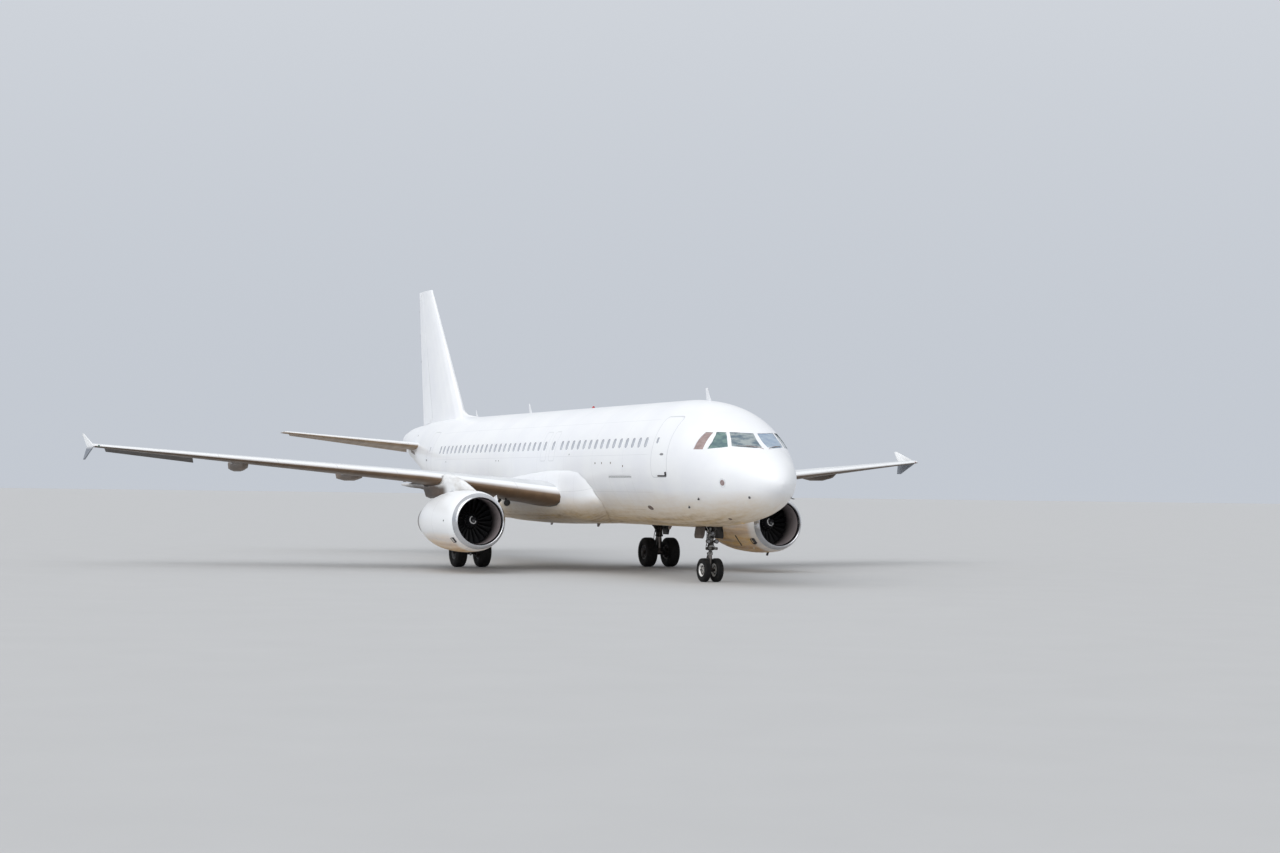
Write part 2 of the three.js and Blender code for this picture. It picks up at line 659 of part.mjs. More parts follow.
function trackFairing({ x, ahead, behind, depth }) {
  const [, leading, chord] = rowAt(WING_TABLE, x);
  const front = leading + FAIRING_FRACTION * chord;
  const level = wingPoint(x, FAIRING_FRACTION).point[2];
  return solid(loft(FAIRING_TABLE.map(([aft, halfWidth, low, high]) => {
    const station = front + aft * (aft < 0 ? ahead : behind);
    return octagon(x, station, halfWidth, level + low * depth, level + high);
  })));
}

// A flat round jacking pad under the wing.
const PAD_RADIUS = 60;
const PAD_PROUD = 20;
const WING_PAD_X = 6500;
const WING_PAD_FRACTION = 0.5;
const padPlace = wingPoint(WING_PAD_X, WING_PAD_FRACTION);
const padLevel = padPlace.point[2] - padPlace.half - PAD_PROUD;
const wingPad = solid(bar(
  [WING_PAD_X, padPlace.point[1], padLevel], padPlace.point, PAD_RADIUS, 16));

const wingWhole = solid(loft(WING_RUN.map((x) => wingRing(x, 0)))).subtract(centreTool);
const wingTool = solid(loft(WING_RUN.map((x) => wingRing(x, SEAT_GAP))));
const fence = solid(loft(FENCE_TABLE.map(([level, front, rear, x]) => [
  [x - FENCE_THICKNESS / 2, st(front), level], [x + FENCE_THICKNESS / 2, st(front), level],
  [x + FENCE_THICKNESS / 2, st(rear), level], [x - FENCE_THICKNESS / 2, st(rear), level],
])));
const trackFairings = FAIRINGS.map(trackFairing).reduce((whole, piece) => whole.add(piece));
const flapTool = wingTool.intersect(flapPrism(SEAT_GAP));
const flapSolid = wingWhole.intersect(flapPrism(0));
const aileronGeometry = turnedAbout(
  geometryOf(wingWhole.intersect(aileronTools.moving)),
  aileronHinge[0].point, aileronTools.axis, -AILERON_DROOP);
const flapGeometry = geometryOf(flapSolid);
const wingGeometry = geometryOf(wingWhole
  .add(trackFairings)
  .subtract(flapTool)
  .subtract(aileronTools.cut)
  .add(aileronTools.pins)
  .add(fence)
  .add(wingPad));

for (const [side, word] of [[1, 'left'], [-1, 'right']]) {
  addPart(aircraft, `wing_${word}`, onSide(side, wingGeometry), GREY_PAINT);
  addPart(aircraft, `flap_${word}`, onSide(side, flapGeometry), GREY_PAINT);
  addPart(aircraft, `aileron_${word}`, onSide(side, aileronGeometry), GREY_PAINT);
}

// Belly fairing
// Each row: station, half width, top and bottom levels of a section with full corners.
const BELLY_TABLE = [
  [10480, 1500, 3070, 2330],
  [10750, 1790, 3400, 2150],
  [11100, 1920, 3690, 2000],
  [11700, 2030, 3860, 1850],
  [12600, 2090, 3910, 1740],
  [14500, 2110, 3890, 1685],
  [17000, 2110, 3710, 1635],
  [19500, 2070, 3450, 1665],
  [21300, 1900, 3200, 1760],
  [22450, 1500, 3000, 1960],
];
const BELLY_SIDES = 24;
const BELLY_UPPER_POWER = 0.5;
const BELLY_LOWER_POWER = 0.68;

// A section of the belly fairing: an ellipse whose corners are filled out.
function bellyRing([station, halfWidth, top, bottom]) {
  const [middle, half] = [(top + bottom) / 2, (top - bottom) / 2];
  const ring = [];
  for (let i = 0; i < BELLY_SIDES; i++) {
    const turn = 2 * Math.PI * (i + 0.5) / BELLY_SIDES;
    const [c, s] = [Math.cos(turn), Math.sin(turn)];
    const power = s > 0 ? BELLY_UPPER_POWER : BELLY_LOWER_POWER;
    ring.push([
      halfWidth * Math.sign(c) * Math.abs(c) ** power,
      st(station),
      middle + half * Math.sign(s) * Math.abs(s) ** power,
    ]);
  }
  return ring;
}

const belly = solid(loft(BELLY_TABLE.map(bellyRing)))
  .subtract(centreTool)
  .subtract(wingTool)
  .subtract(reflected(wingTool));
addPart(aircraft, 'belly_fairing', geometryOf(belly), GRIMY_PAINT);

// Fin and rudder
// Each row: level, leading edge station, chord, relative thickness.
const FIN_TABLE = [
  [5300, 29280, 6240, 0.1],
  [11760, 34660, 1900, 0.1],
];

function finRing(level) {
  const [, station, chord, ratio] = rowAt(FIN_TABLE, level);
  return sectionOutline(chord, ratio, 0, 0).map(([aft, out]) => [out, st(station) + aft, level]);
}

// The point on the fin's middle plane at a share of its chord, and the half thickness.
function finPoint(level, fraction) {
  const [, station, chord, ratio] = rowAt(FIN_TABLE, level);
  return {
    point: [0, st(station) + fraction * chord, level],
    half: halfThickness(fraction, chord, ratio),
  };
}

const RUDDER_SPAN = [5930, 11600];
const RUDDER_HINGE_FRACTION = 0.7;
const RUDDER_SWING = 25;
const rudderHinge = RUDDER_SPAN.map((level) => finPoint(level, RUDDER_HINGE_FRACTION));
const rudderTools = hingeTools(
  rudderHinge[0].point, rudderHinge[1].point,
  rudderHinge.map((place) => place.half), RUDDER_SWING, 2400, 600);

// The fillet ahead of the fin, as rings of a thin section at rising stations.
// Each row: station, half thickness, top level.
const FILLET_TABLE = [
  [27900, 8, 5880],
  [29300, 60, 6010],
  [30100, 110, 6270],
  [30900, 140, 6800],
];
const FILLET_FOOT = 5500;
const fillet = solid(loft(FILLET_TABLE.map(([station, half, top]) => [
  [-half, st(station), FILLET_FOOT], [half, st(station), FILLET_FOOT],
  [half * 0.6, st(station), top - half], [0, st(station), top],
  [-half * 0.6, st(station), top - half],
])));
const finWhole = solid(loft(FIN_TABLE.map((row) => finRing(row[0])))).subtract(rearTool);
addPart(aircraft, 'fin', geometryOf(finWhole
  .add(fillet.subtract(rearTool))
  .subtract(rudderTools.cut)
  .add(rudderTools.pins)), WHITE_PAINT);
addPart(aircraft, 'rudder', geometryOf(finWhole
  .intersect(rudderTools.moving)
  .subtract(rudderRoom)), WHITE_PAINT);

// Tailplane and elevators
// Each row: x, leading edge station, chord, level, relative thickness.
const TAILPLANE_TABLE = [
  [200, 32027, 3669, 4621, 0.1],
  [6220, 35840, 1240, 5250, 0.09],
];

function tailplaneRing(x) {
  const [, station, chord, level, ratio] = rowAt(TAILPLANE_TABLE, x);
  return sectionOutline(chord, ratio, 0, 0).map(([aft, up]) => [x, st(station) + aft, level + up]);
}

function tailplanePoint(x, fraction) {
  const [, station, chord, level, ratio] = rowAt(TAILPLANE_TABLE, x);
  return {
    point: [x, st(station) + fraction * chord, level],
    half: halfThickness(fraction, chord, ratio),
  };
}

const ELEVATOR_SPAN = [1050, 5950];
const ELEVATOR_HINGE_FRACTION = 0.68;
const ELEVATOR_SWING = 30;
const ELEVATOR_DROOP = 11;
const elevatorHinge = ELEVATOR_SPAN.map((x) => tailplanePoint(x, ELEVATOR_HINGE_FRACTION));
const elevatorTools = hingeTools(
  elevatorHinge[0].point, elevatorHinge[1].point,
  elevatorHinge.map((place) => place.half), ELEVATOR_SWING, 1500, 500);
const tailplaneWhole = solid(loft(TAILPLANE_TABLE.map((row) => tailplaneRing(row[0]))))
  .subtract(rearTool);
const tailplaneGeometry = geometryOf(tailplaneWhole
  .subtract(elevatorTools.cut)
  .add(elevatorTools.pins));
const elevatorGeometry = turnedAbout(
  geometryOf(tailplaneWhole.intersect(elevatorTools.moving)),
  elevatorHinge[0].point, elevatorTools.axis, -ELEVATOR_DROOP);

for (const [side, word] of [[1, 'left'], [-1, 'right']]) {
  addPart(aircraft, `tailplane_${word}`, onSide(side, tailplaneGeometry), GREY_PAINT);
  addPart(aircraft, `elevator_${word}`, onSide(side, elevatorGeometry), GREY_PAINT);
}

// Engines, about an axis that runs aft from the intake's front and down by the tilt in degrees
const ENGINE_SIDES = 28;
// Each row: radius, distance aft of the intake's front.
const COWL_OUTSIDE = [
  [822, 0], [862, 30], [905, 100], [948, 200], [1020, 500], [1048, 1000], [1065, 1600],
  [1042, 2400], [988, 3200], [866, 4000], [715, 4600], [618, 4950], [560, 5250],
];
const COWL_INSIDE = [
  [540, 5250], [598, 4950], [760, 3500], [812, 1500], [812, 1000], [764, 450], [775, 150], [796, 40],
];
const LIP_DEPTH = 200;
const LIP_INSIDE_DEPTH = 150;
const COWL_LENGTH = COWL_OUTSIDE.at(-1)[1];
const SPINNER_TABLE = [[0, 640], [70, 665], [160, 780], [230, 930], [255, 1040], [255, 1290], [0, 1290]];
const BLADE_COUNT = 22;
const BLADE_REACH = 788;
// Degrees that a blade's chord leans from the engine's axis.
const BLADE_ANGLE = 35;
// Each row: distance from the axis, chord, thickness.
const BLADE_TABLE = [[200, 70, 22], [BLADE_REACH, 300, 12]];
const BLADE_MIDDLE = 1150;
const SHAFT_RADIUS = 60;
const SHAFT_BORE = 60.8;
const SHAFT_REACH = 40;
const CORE_FRONT = 1298;
const FRAME_FRONT = 1400;
const FRAME_REAR = 1490;
const FRAME_RADIUS = 812;

// A solid of revolution about the engine's axis, from [radius, distance aft] points.
function revolved(outline, sides = ENGINE_SIDES) {
  const points = outline.map(([radius, aft]) => new THREE.Vector2(radius, aft));
  const geometry = welded(new THREE.LatheGeometry(points, sides));
  return signedVolume(geometry) < 0 ? turnedOut(geometry) : geometry;
}

// The cowl's outline cut at a distance aft, the part ahead or the part behind.
const lipOutline = [
  ...COWL_OUTSIDE.filter(([, aft]) => aft < LIP_DEPTH), [948, LIP_DEPTH - SEAT_GAP],
  [775, LIP_INSIDE_DEPTH - SEAT_GAP],
  ...COWL_INSIDE.filter(([, aft]) => aft < LIP_INSIDE_DEPTH),
];
const cowlOutline = [
  ...COWL_OUTSIDE.filter(([, aft]) => aft >= LIP_DEPTH),
  ...COWL_INSIDE.filter(([, aft]) => aft >= LIP_INSIDE_DEPTH),
];
const closedLoop = (outline) => [...outline, outline[0]];
const lipGeometry = revolved(closedLoop(lipOutline));
const cowlGeometry = revolved(closedLoop(cowlOutline));

// Puts a geometry that is built about the engine's axis in its place on the left side.
function inEngine(geometry) {
  geometry.rotateX(-THREE.MathUtils.degToRad(ENGINE_TILT));
  geometry.translate(ENGINE_X, st(INTAKE_STATION), ENGINE_LEVEL);
  return geometry;
}

const cowlTool = solid(inEngine(revolved([
  [0, -SEAT_GAP],
  ...COWL_OUTSIDE.map(([radius, aft]) => [radius + SEAT_GAP, aft]),
  [COWL_OUTSIDE.at(-1)[0], COWL_LENGTH + SEAT_GAP],
  [0, COWL_LENGTH + SEAT_GAP],
])));

// A fan blade: a thin bar of rectangular section that widens outwards, leant about its own
// length and turned about the engine's axis.
function blade(turn) {
  const a = THREE.MathUtils.degToRad(BLADE_ANGLE);
  const rings = BLADE_TABLE.map(([height, chord, thickness]) => {
    const along = [Math.sin(a) * chord / 2, Math.cos(a) * chord / 2];
    const across = [Math.cos(a) * thickness / 2, -Math.sin(a) * thickness / 2];
    return [[1, 1], [1, -1], [-1, -1], [-1, 1]].map(([p, q]) => (
      [p * along[0] + q * across[0], BLADE_MIDDLE + p * along[1] + q * across[1], height]));
  });
  const geometry = loft(rings);
  geometry.rotateY(turn);
  return geometry;
}

const shaft = (radius, from, to) => solid(bar([0, from, 0], [0, to, 0], radius, 24));
// The spinner has a flat side at the foot of each blade.
let fan = solid(revolved(SPINNER_TABLE, BLADE_COUNT));
for (let k = 0; k < BLADE_COUNT; k++) {
  fan = fan.add(solid(blade(2 * Math.PI * (k + 0.5) / BLADE_COUNT)));
}
fan = fan.subtract(shaft(SHAFT_BORE, CORE_FRONT - 8 - SHAFT_REACH, CORE_FRONT + 10));
const core = solid(revolved([
  [0, CORE_FRONT], [255, CORE_FRONT], [300, FRAME_FRONT],
  [FRAME_RADIUS - SEAT_GAP, FRAME_FRONT], [FRAME_RADIUS - SEAT_GAP, FRAME_REAR],
  [560, FRAME_REAR], [520, 2600], [430, 3300], [330, 4200], [200, 4700], [60, 4900], [0, 4910],
])).add(shaft(SHAFT_RADIUS, CORE_FRONT - 7 - SHAFT_REACH, CORE_FRONT + 40));

// Engine pylon. Each row: station, half width, low and high level.
const PYLON_TABLE = [
  [11730, 20, 2740, 2800],
  [12280, 90, 2700, 2930],
  [12980, 130, 2680, 3110],
  [13780, 170, 2660, 3290],
  [14700, 200, 2640, 3400],
  [15750, 220, 2560, 3360],
  [16780, 220, 2500, 3260],
  [17130, 190, 2780, 3200],
  [17900, 150, 2850, 3120],
  [19200, 110, 2890, 3060],
  [20300, 30, 2960, 3030],
];
const pylonGeometry = geometryOf(solid(loft(PYLON_TABLE.map(([station, half, low, high]) => (
  octagon(ENGINE_X, station, half, low, high)))))
  .subtract(cowlTool)
  .subtract(wingTool));

for (const [side, word] of [[1, 'left'], [-1, 'right']]) {
  const engine = new THREE.Group();
  engine.position.set(side * ENGINE_X, st(INTAKE_STATION), ENGINE_LEVEL);
  engine.rotation.x = -THREE.MathUtils.degToRad(ENGINE_TILT);
  aircraft.add(engine);
  addPart(engine, `intake_lip_${word}`, lipGeometry, BARE_METAL);
  addPart(engine, `engine_cowl_${word}`, cowlGeometry, WHITE_PAINT);
  addPart(engine, `fan_${word}`, geometryOf(fan), DARK_METAL);
  addPart(engine, `engine_core_${word}`, geometryOf(core), DARK_METAL);
  addPart(aircraft, `pylon_${word}`, onSide(side, pylonGeometry), WHITE_PAINT);
}

// Wheels, about an axle along x
const AXLE_SIDES = 24;

// A tyre with its hub, bored for the axle. The outline runs round a half section as
// [radius, distance across] and the hub is set in from the tyre's side by its dish.
function wheel({ level, width, rim, dish, bore }) {
  const half = width / 2;
  const radius = level / Math.cos(Math.PI / WHEEL_SIDES);
  const outline = [
    [rim * 0.6, -half + dish], [rim, -half + dish * 0.3],
    [rim + 0.45 * (radius - rim), -half], [radius - 0.16 * (radius - rim), -half * 0.84],
    [radius, -half * 0.5],
  ];
  const other = outline.map(([r, across]) => [r, -across]).reverse();
  const hub = [[0, half - dish], [0, -half + dish]];
  const geometry = revolved(closedLoop([...hub, ...outline, ...other]), WHEEL_SIDES);
  geometry.rotateY(Math.PI / WHEEL_SIDES);
  geometry.rotateZ(-Math.PI / 2);
  const hole = bar([-half, 0, 0], [half, 0, 0], bore, AXLE_SIDES);
  hole.rotateX(Math.PI / AXLE_SIDES);
  return geometryOf(solid(geometry).subtract(solid(hole)));
}

// Each wheel stands on a flat of its tread, at its axle's level above the ground.
const WHEEL_SIDES = 24;
const NOSE_WHEEL = { level: 380, width: 224, rim: 200, dish: 50, bore: 45.8, axle: 45, x: 220 };
const MAIN_WHEEL = { level: 556, width: 430, rim: 262, dish: 90, bore: 71, axle: 70, x: 463 };

// Nose gear. Local z is the level above the ground, local y the distance aft of the axle.
const NOSE_PIN_RADIUS = 30;
const NOSE_PIN_BORE = 30.8;
const NOSE_PIN_REACH = 60;
const PIN_SIDES = 24;
const noseGear = new THREE.Group();
noseGear.position.set(0, st(NOSE_GEAR_STATION), 0);
aircraft.add(noseGear);

// Joins round bars given as rows: from, to, radius, sides, far radius.
function barsOf(rows) {
  return joined(rows.map(([from, to, radius, sides, farRadius]) => bar(from, to, radius, sides, farRadius)));
}

const NOSE_LEG_BOTTOM = 1010;
const NOSE_LEG_TOP = NOSE_WELL.roof - SEAT_GAP;
const NOSE_TRUNNION = { x: NOSE_WELL.halfWidth - SEAT_GAP, level: 2050, radius: 45 };
const NOSE_STAY = { x: 170, foot: 50, ahead: 400, level: 2060, footLevel: 1330, radius: 28 };
const NOSE_LAMP = { x: 140, ahead: 175, level: 1300, radius: 75, backRadius: 60 };
const lampShelf = [NOSE_LAMP.x + 10, -60, NOSE_LAMP.level];
const steeringLevel = NOSE_LEG_BOTTOM + 60;
const noseStays = [-1, 1].map((side) => [
  [side * NOSE_STAY.foot, -40, NOSE_STAY.footLevel],
  [side * NOSE_STAY.x, -NOSE_STAY.ahead, NOSE_STAY.level], NOSE_STAY.radius, 8,
]);
const noseLamps = [-1, 1].map((side) => [
  [side * NOSE_LAMP.x, -NOSE_LAMP.ahead, NOSE_LAMP.level], [side * NOSE_LAMP.x, -60, NOSE_LAMP.level],
  NOSE_LAMP.radius, 12, NOSE_LAMP.backRadius,
]);
// The cylinder with its collar, the steering motor across it, the trunnion, the folding
// stay with its own cross bar, the lamps on their shelf, and the pin that the fork turns on.
const noseLeg = barsOf([
  [[0, 0, NOSE_LEG_BOTTOM], [0, 0, NOSE_LEG_TOP], 85, 16],
  [[0, 0, NOSE_LEG_BOTTOM + 10], [0, 0, NOSE_LEG_BOTTOM + 110], 115, 16],
  [[-200, -95, steeringLevel], [200, -95, steeringLevel], 45, 8],
  [[-NOSE_TRUNNION.x, 0, NOSE_TRUNNION.level], [NOSE_TRUNNION.x, 0, NOSE_TRUNNION.level],
    NOSE_TRUNNION.radius, 8],
  ...noseStays,
  [[-NOSE_TRUNNION.x, -NOSE_STAY.ahead, NOSE_STAY.level], [NOSE_TRUNNION.x, -NOSE_STAY.ahead, NOSE_STAY.level],
    32, 8],
  [lampShelf.map((value, k) => (k ? value : -value)), lampShelf, 30, 8],
  ...noseLamps,
  [[0, 0, NOSE_LEG_BOTTOM + 5], [0, 0, NOSE_LEG_BOTTOM - NOSE_PIN_REACH - 7], NOSE_PIN_RADIUS, PIN_SIDES],
]);
addPart(noseGear, 'nose_gear_leg', geometryOf(noseLeg), GEAR_PAINT);

// The towing fitting stands ahead of the axle.
const TOW_REACH = 130;
const TOW_FITTING = { halfWidth: 55, halfHeight: 50 };
const forkTop = NOSE_LEG_BOTTOM - RUNNING_GAP;
const axleLevel = NOSE_WHEEL.level;
// The torque links behind the piston, upper and lower. Local outlines as [y, level].
const UPPER_LINK = [[60, 870], [75, 940], [250, 690], [235, 640], [200, 650]];
const LOWER_LINK = [[40, 420], [40, 480], [225, 700], [250, 680], [250, 640], [90, 400]];
const pinBore = solid(bar([0, 0, forkTop + 5], [0, 0, forkTop - NOSE_PIN_REACH], NOSE_PIN_BORE, PIN_SIDES));
// The piston, the axle's boss, the axle and the collar under the leg.
const noseFork = barsOf([
  [[0, 0, axleLevel - 20], [0, 0, forkTop], 58, 16],
  [[-85, 0, axleLevel], [85, 0, axleLevel], 62, 16],
  [[-325, 0, axleLevel], [325, 0, axleLevel], NOSE_WHEEL.axle, AXLE_SIDES],
  [[0, 0, 860], [0, 0, 960], 80, 16],
]).add(joined([
  box([-60, 0, 880], [60, 130, 940]),
  box(
    [-TOW_FITTING.halfWidth, -TOW_REACH, axleLevel - TOW_FITTING.halfHeight],
    [TOW_FITTING.halfWidth, 0, axleLevel + TOW_FITTING.halfHeight]),
  plate(UPPER_LINK, 0, 90),
  plate(LOWER_LINK, 0, 70),
])).subtract(pinBore);
addPart(noseGear, 'nose_gear_fork', geometryOf(noseFork), GEAR_PAINT);

for (const [side, word] of [[1, 'left'], [-1, 'right']]) {
  const mesh = addPart(noseGear, `nose_wheel_${word}`, wheel(NOSE_WHEEL), BLACK_RUBBER);
  mesh.position.set(side * NOSE_WHEEL.x, 0, NOSE_WHEEL.level);
}

// The two small doors that stay open beside the nose leg. Local outline as [y, level].
const NOSE_DOOR_OUTLINE = [[-250, 1900], [480, 1900], [480, 1480], [400, 1390], [-170, 1390], [-250, 1480]];
const NOSE_DOOR_X = 300;
const NOSE_DOOR_THICKNESS = 24;
// How far a door's foot leans out for each step down, from the level where it stands at its x.
const NOSE_DOOR_LEAN = 0.16;
const NOSE_DOOR_LEVEL = 1750;
const noseDoorPlate = plate(NOSE_DOOR_OUTLINE, 0, NOSE_DOOR_THICKNESS);
noseDoorPlate.applyMatrix4(new THREE.Matrix4().set(
  1, 0, -NOSE_DOOR_LEAN, NOSE_DOOR_X + NOSE_DOOR_LEAN * NOSE_DOOR_LEVEL,
  0, 1, 0, st(NOSE_GEAR_STATION),
  0, 0, 1, 0,
  0, 0, 0, 1));
const noseDoorGeometry = geometryOf(solid(noseDoorPlate).subtract(noseTool));
for (const [side, word] of [[1, 'left'], [-1, 'right']]) {
  addPart(aircraft, `nose_gear_door_${word}`, onSide(side, noseDoorGeometry), GRIMY_PAINT);
}

// Main gear, with x counted from the leg and y from the axle on the left side
const MAIN_LEG_RADIUS = 125;
const MAIN_LEG_BOTTOM = 1150;
const MAIN_LEG_TOP = 2720;
const AXLE_END = 660;
const mainLevel = MAIN_WHEEL.level;
// The torque links behind the piston, upper and lower. Outlines as [y, level].
const MAIN_UPPER_LINK = [[100, 1250], [130, 1190], [330, 900], [330, 840], [290, 850], [80, 1180]];
const MAIN_LOWER_LINK = [[40, 560], [330, 850], [330, 910], [290, 910], [40, 680]];
// The cylinder, the piston, the axle's boss, the axle, the drag stay that runs ahead, the
// side stay that runs inboard, and the bracket of the upper link.
const mainLegPieces = barsOf([
  [[0, 0, MAIN_LEG_BOTTOM], [0, 0, MAIN_LEG_TOP], MAIN_LEG_RADIUS, 16],
  [[0, 0, mainLevel], [0, 0, MAIN_LEG_BOTTOM + 20], 85, 16],
  [[-190, 0, mainLevel], [190, 0, mainLevel], 100, 16],
  [[-AXLE_END, 0, mainLevel], [AXLE_END, 0, mainLevel], MAIN_WHEEL.axle, AXLE_SIDES],
  [[0, -60, 1500], [0, -820, 2600], 70, 12],
  [[-60, 0, 1420], [-1150, 0, 2500], 60, 12],
  [[0, -60, 1220], [0, 130, 1220], 60, 12],
]).add(joined([plate(MAIN_UPPER_LINK, 0, 120), plate(MAIN_LOWER_LINK, 0, 100)]));
// The side stay ends short of the body's side.
const BODY_SIDE_ROOM = { x: 2250, front: 10000, rear: 24000, bottom: 2300, top: 4000 };
const bodySide = solid(box(
  [0, st(BODY_SIDE_ROOM.front), BODY_SIDE_ROOM.bottom],
  [BODY_SIDE_ROOM.x, st(BODY_SIDE_ROOM.rear), BODY_SIDE_ROOM.top]));
const mainLeg = mainLegPieces
  .translate([MAIN_GEAR_X, st(MAIN_GEAR_STATION), 0])
  .subtract(wingTool)
  .subtract(bodySide);

// The leg's own door, outboard of it. Outline as [y, level].
const LEG_DOOR_OUTLINE = [[-520, 2700], [430, 2700], [380, 1750], [250, 1230], [-200, 1230], [-400, 1750]];
const LEG_DOOR_X = 290;
const LEG_DOOR_THICKNESS = 40;
const LEG_DOOR_ARM_LEVELS = [1500, 2150];
const LEG_DOOR_ARM_RADIUS = 30;
const legDoorPieces = joined([
  plate(LEG_DOOR_OUTLINE, LEG_DOOR_X, LEG_DOOR_THICKNESS),
  ...LEG_DOOR_ARM_LEVELS.map((level) => bar(
    [MAIN_LEG_RADIUS / 2, 0, level], [LEG_DOOR_X, 0, level], LEG_DOOR_ARM_RADIUS, 8)),
]);
const legDoor = legDoorPieces
  .subtract(solid(bar([0, 0, MAIN_LEG_BOTTOM], [0, 0, MAIN_LEG_TOP], MAIN_LEG_RADIUS + SEAT_GAP, 16)))
  .translate([MAIN_GEAR_X, st(MAIN_GEAR_STATION), 0])
  .subtract(wingTool);

for (const [side, word] of [[1, 'left'], [-1, 'right']]) {
  addPart(aircraft, `main_gear_leg_${word}`, onSide(side, geometryOf(mainLeg)), GEAR_PAINT);
  addPart(aircraft, `main_leg_door_${word}`, onSide(side, geometryOf(legDoor)), WHITE_PAINT);
  for (const [offset, place] of [[side, 'outer'], [-side, 'inner']]) {
    const mesh = addPart(aircraft, `main_wheel_${place}_${word}`, wheel(MAIN_WHEEL), BLACK_RUBBER);
    mesh.position.set(
      side * MAIN_GEAR_X + offset * MAIN_WHEEL.x, st(MAIN_GEAR_STATION), MAIN_WHEEL.level);
  }
}

export default aircraft;
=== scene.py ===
import json
import math

import bpy
from mathutils import Matrix, Vector

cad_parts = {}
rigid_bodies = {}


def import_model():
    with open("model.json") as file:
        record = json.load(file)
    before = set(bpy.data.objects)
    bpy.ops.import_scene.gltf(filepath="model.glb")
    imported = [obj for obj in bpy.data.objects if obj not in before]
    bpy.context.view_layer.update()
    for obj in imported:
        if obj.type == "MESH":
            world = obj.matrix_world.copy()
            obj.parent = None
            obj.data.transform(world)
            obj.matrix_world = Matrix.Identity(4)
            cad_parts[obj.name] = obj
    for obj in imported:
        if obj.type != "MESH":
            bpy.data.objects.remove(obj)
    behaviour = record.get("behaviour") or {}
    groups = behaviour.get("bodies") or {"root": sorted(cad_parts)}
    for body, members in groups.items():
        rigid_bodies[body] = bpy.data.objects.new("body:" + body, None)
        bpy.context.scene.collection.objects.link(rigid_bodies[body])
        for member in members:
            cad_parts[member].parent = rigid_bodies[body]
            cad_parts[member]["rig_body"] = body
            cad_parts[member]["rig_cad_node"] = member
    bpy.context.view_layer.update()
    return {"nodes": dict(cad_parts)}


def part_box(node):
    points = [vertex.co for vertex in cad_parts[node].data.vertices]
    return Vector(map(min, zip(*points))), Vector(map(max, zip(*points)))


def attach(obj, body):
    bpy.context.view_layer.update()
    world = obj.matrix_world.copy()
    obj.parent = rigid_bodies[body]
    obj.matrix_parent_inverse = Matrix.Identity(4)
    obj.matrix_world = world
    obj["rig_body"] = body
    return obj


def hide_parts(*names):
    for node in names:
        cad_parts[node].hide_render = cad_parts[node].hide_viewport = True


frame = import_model()
bpy.ops.object.select_all(action="DESELECT")

# Camera
# It stands ahead of the right wing, a little above eye level, and looks with a long lens
# along the fuselage from the front right.
CAMERA_PLACE = (-29.280, -75.797, 2.912)
CAMERA_TURN = (91.701, -0.782, -23.346)
CAMERA_LENS = 60.12
SIGHT = 2000
bpy.ops.object.camera_add(
    location=CAMERA_PLACE, rotation=[math.radians(turn) for turn in CAMERA_TURN])
camera = bpy.context.object
camera.data.lens = CAMERA_LENS
camera.data.clip_end = SIGHT
bpy.context.scene.camera = camera

# Fuselage
# A pressurised tube of aluminium skins riveted to frames and stringers. It is painted
# white, and brown grime from the engines and the gear lies along its underside.
LENGTH = 37.57
CENTRE_LEVEL = 3.8
# Each row: station, half width, then the levels of the top, the widest line and the bottom
# counted from the centreline.
HULL = [
    (0.0, 0.0, -0.65, -0.65, -0.65), (0.3, 0.47, -0.17, -0.62, -1.05),
    (0.7, 0.78, 0.13, -0.57, -1.34), (1.2, 1.06, 0.43, -0.48, -1.55),
    (1.6, 1.235, 0.64, -0.41, -1.66), (2.0, 1.4, 0.95, -0.33, -1.75),
    (2.5, 1.56, 1.29, -0.23, -1.835), (3.2, 1.73, 1.6, -0.12, -1.925),
    (4.0, 1.86, 1.83, -0.05, -1.99), (5.0, 1.945, 1.99, 0.0, -2.05),
    (6.2, 1.975, 2.07, 0.0, -2.07), (24.6, 1.975, 2.07, 0.0, -2.07),
    (27.0, 1.925, 2.07, 0.04, -1.87), (29.0, 1.77, 2.07, 0.13, -1.44),
    (31.0, 1.51, 2.06, 0.29, -0.95), (33.0, 1.16, 2.01, 0.52, -0.44),
    (35.0, 0.82, 1.9, 0.8, 0.06), (36.5, 0.56, 1.79, 1.0, 0.45),
    (37.57, 0.36, 1.61, 1.17, 0.74),
]
SLOPE_STEP = 0.05
SKIN_AGREEMENT = 0.9
JOIN_DISTANCE = 0.00005
SKIN_CUTS = 3
DOOR_GROWTH = 0.007
HULL_RADIUS = 1.975


def along(station):
    """The place along Y of a station, which counts metres aft of the nose tip."""
    return station - LENGTH / 2


def smooth_rows(rows, warp):
    """Joins a table's rows by smooth curves, and gives a function that reads them."""
    runs = [warp(row[0]) for row in rows]
    steps = [b - a for a, b in zip(runs, runs[1:])]
    columns = list(zip(*[row[1:] for row in rows]))
    slopes = []
    for column in columns:
        rates = [(b - a) / step for a, b, step in zip(column, column[1:], steps)]
        inner = [2 * a * b / (a + b) if a * b > 0 else 0.0 for a, b in zip(rates, rates[1:])]
        slopes.append([rates[0], *inner, rates[-1]])

    def read(station):
        place = min(max(warp(station), runs[0]), runs[-1])
        row = 0
        while row < len(steps) - 1 and place > runs[row + 1]:
            row += 1
        step = steps[row]
        t = (place - runs[row]) / step
        return [
            column[row] * (2 * t**3 - 3 * t**2 + 1) + slope[row] * step * (t**3 - 2 * t**2 + t)
            + column[row + 1] * (3 * t**2 - 2 * t**3) + slope[row + 1] * step * (t**3 - t**2)
            for column, slope in zip(columns, slopes)
        ]
    return read


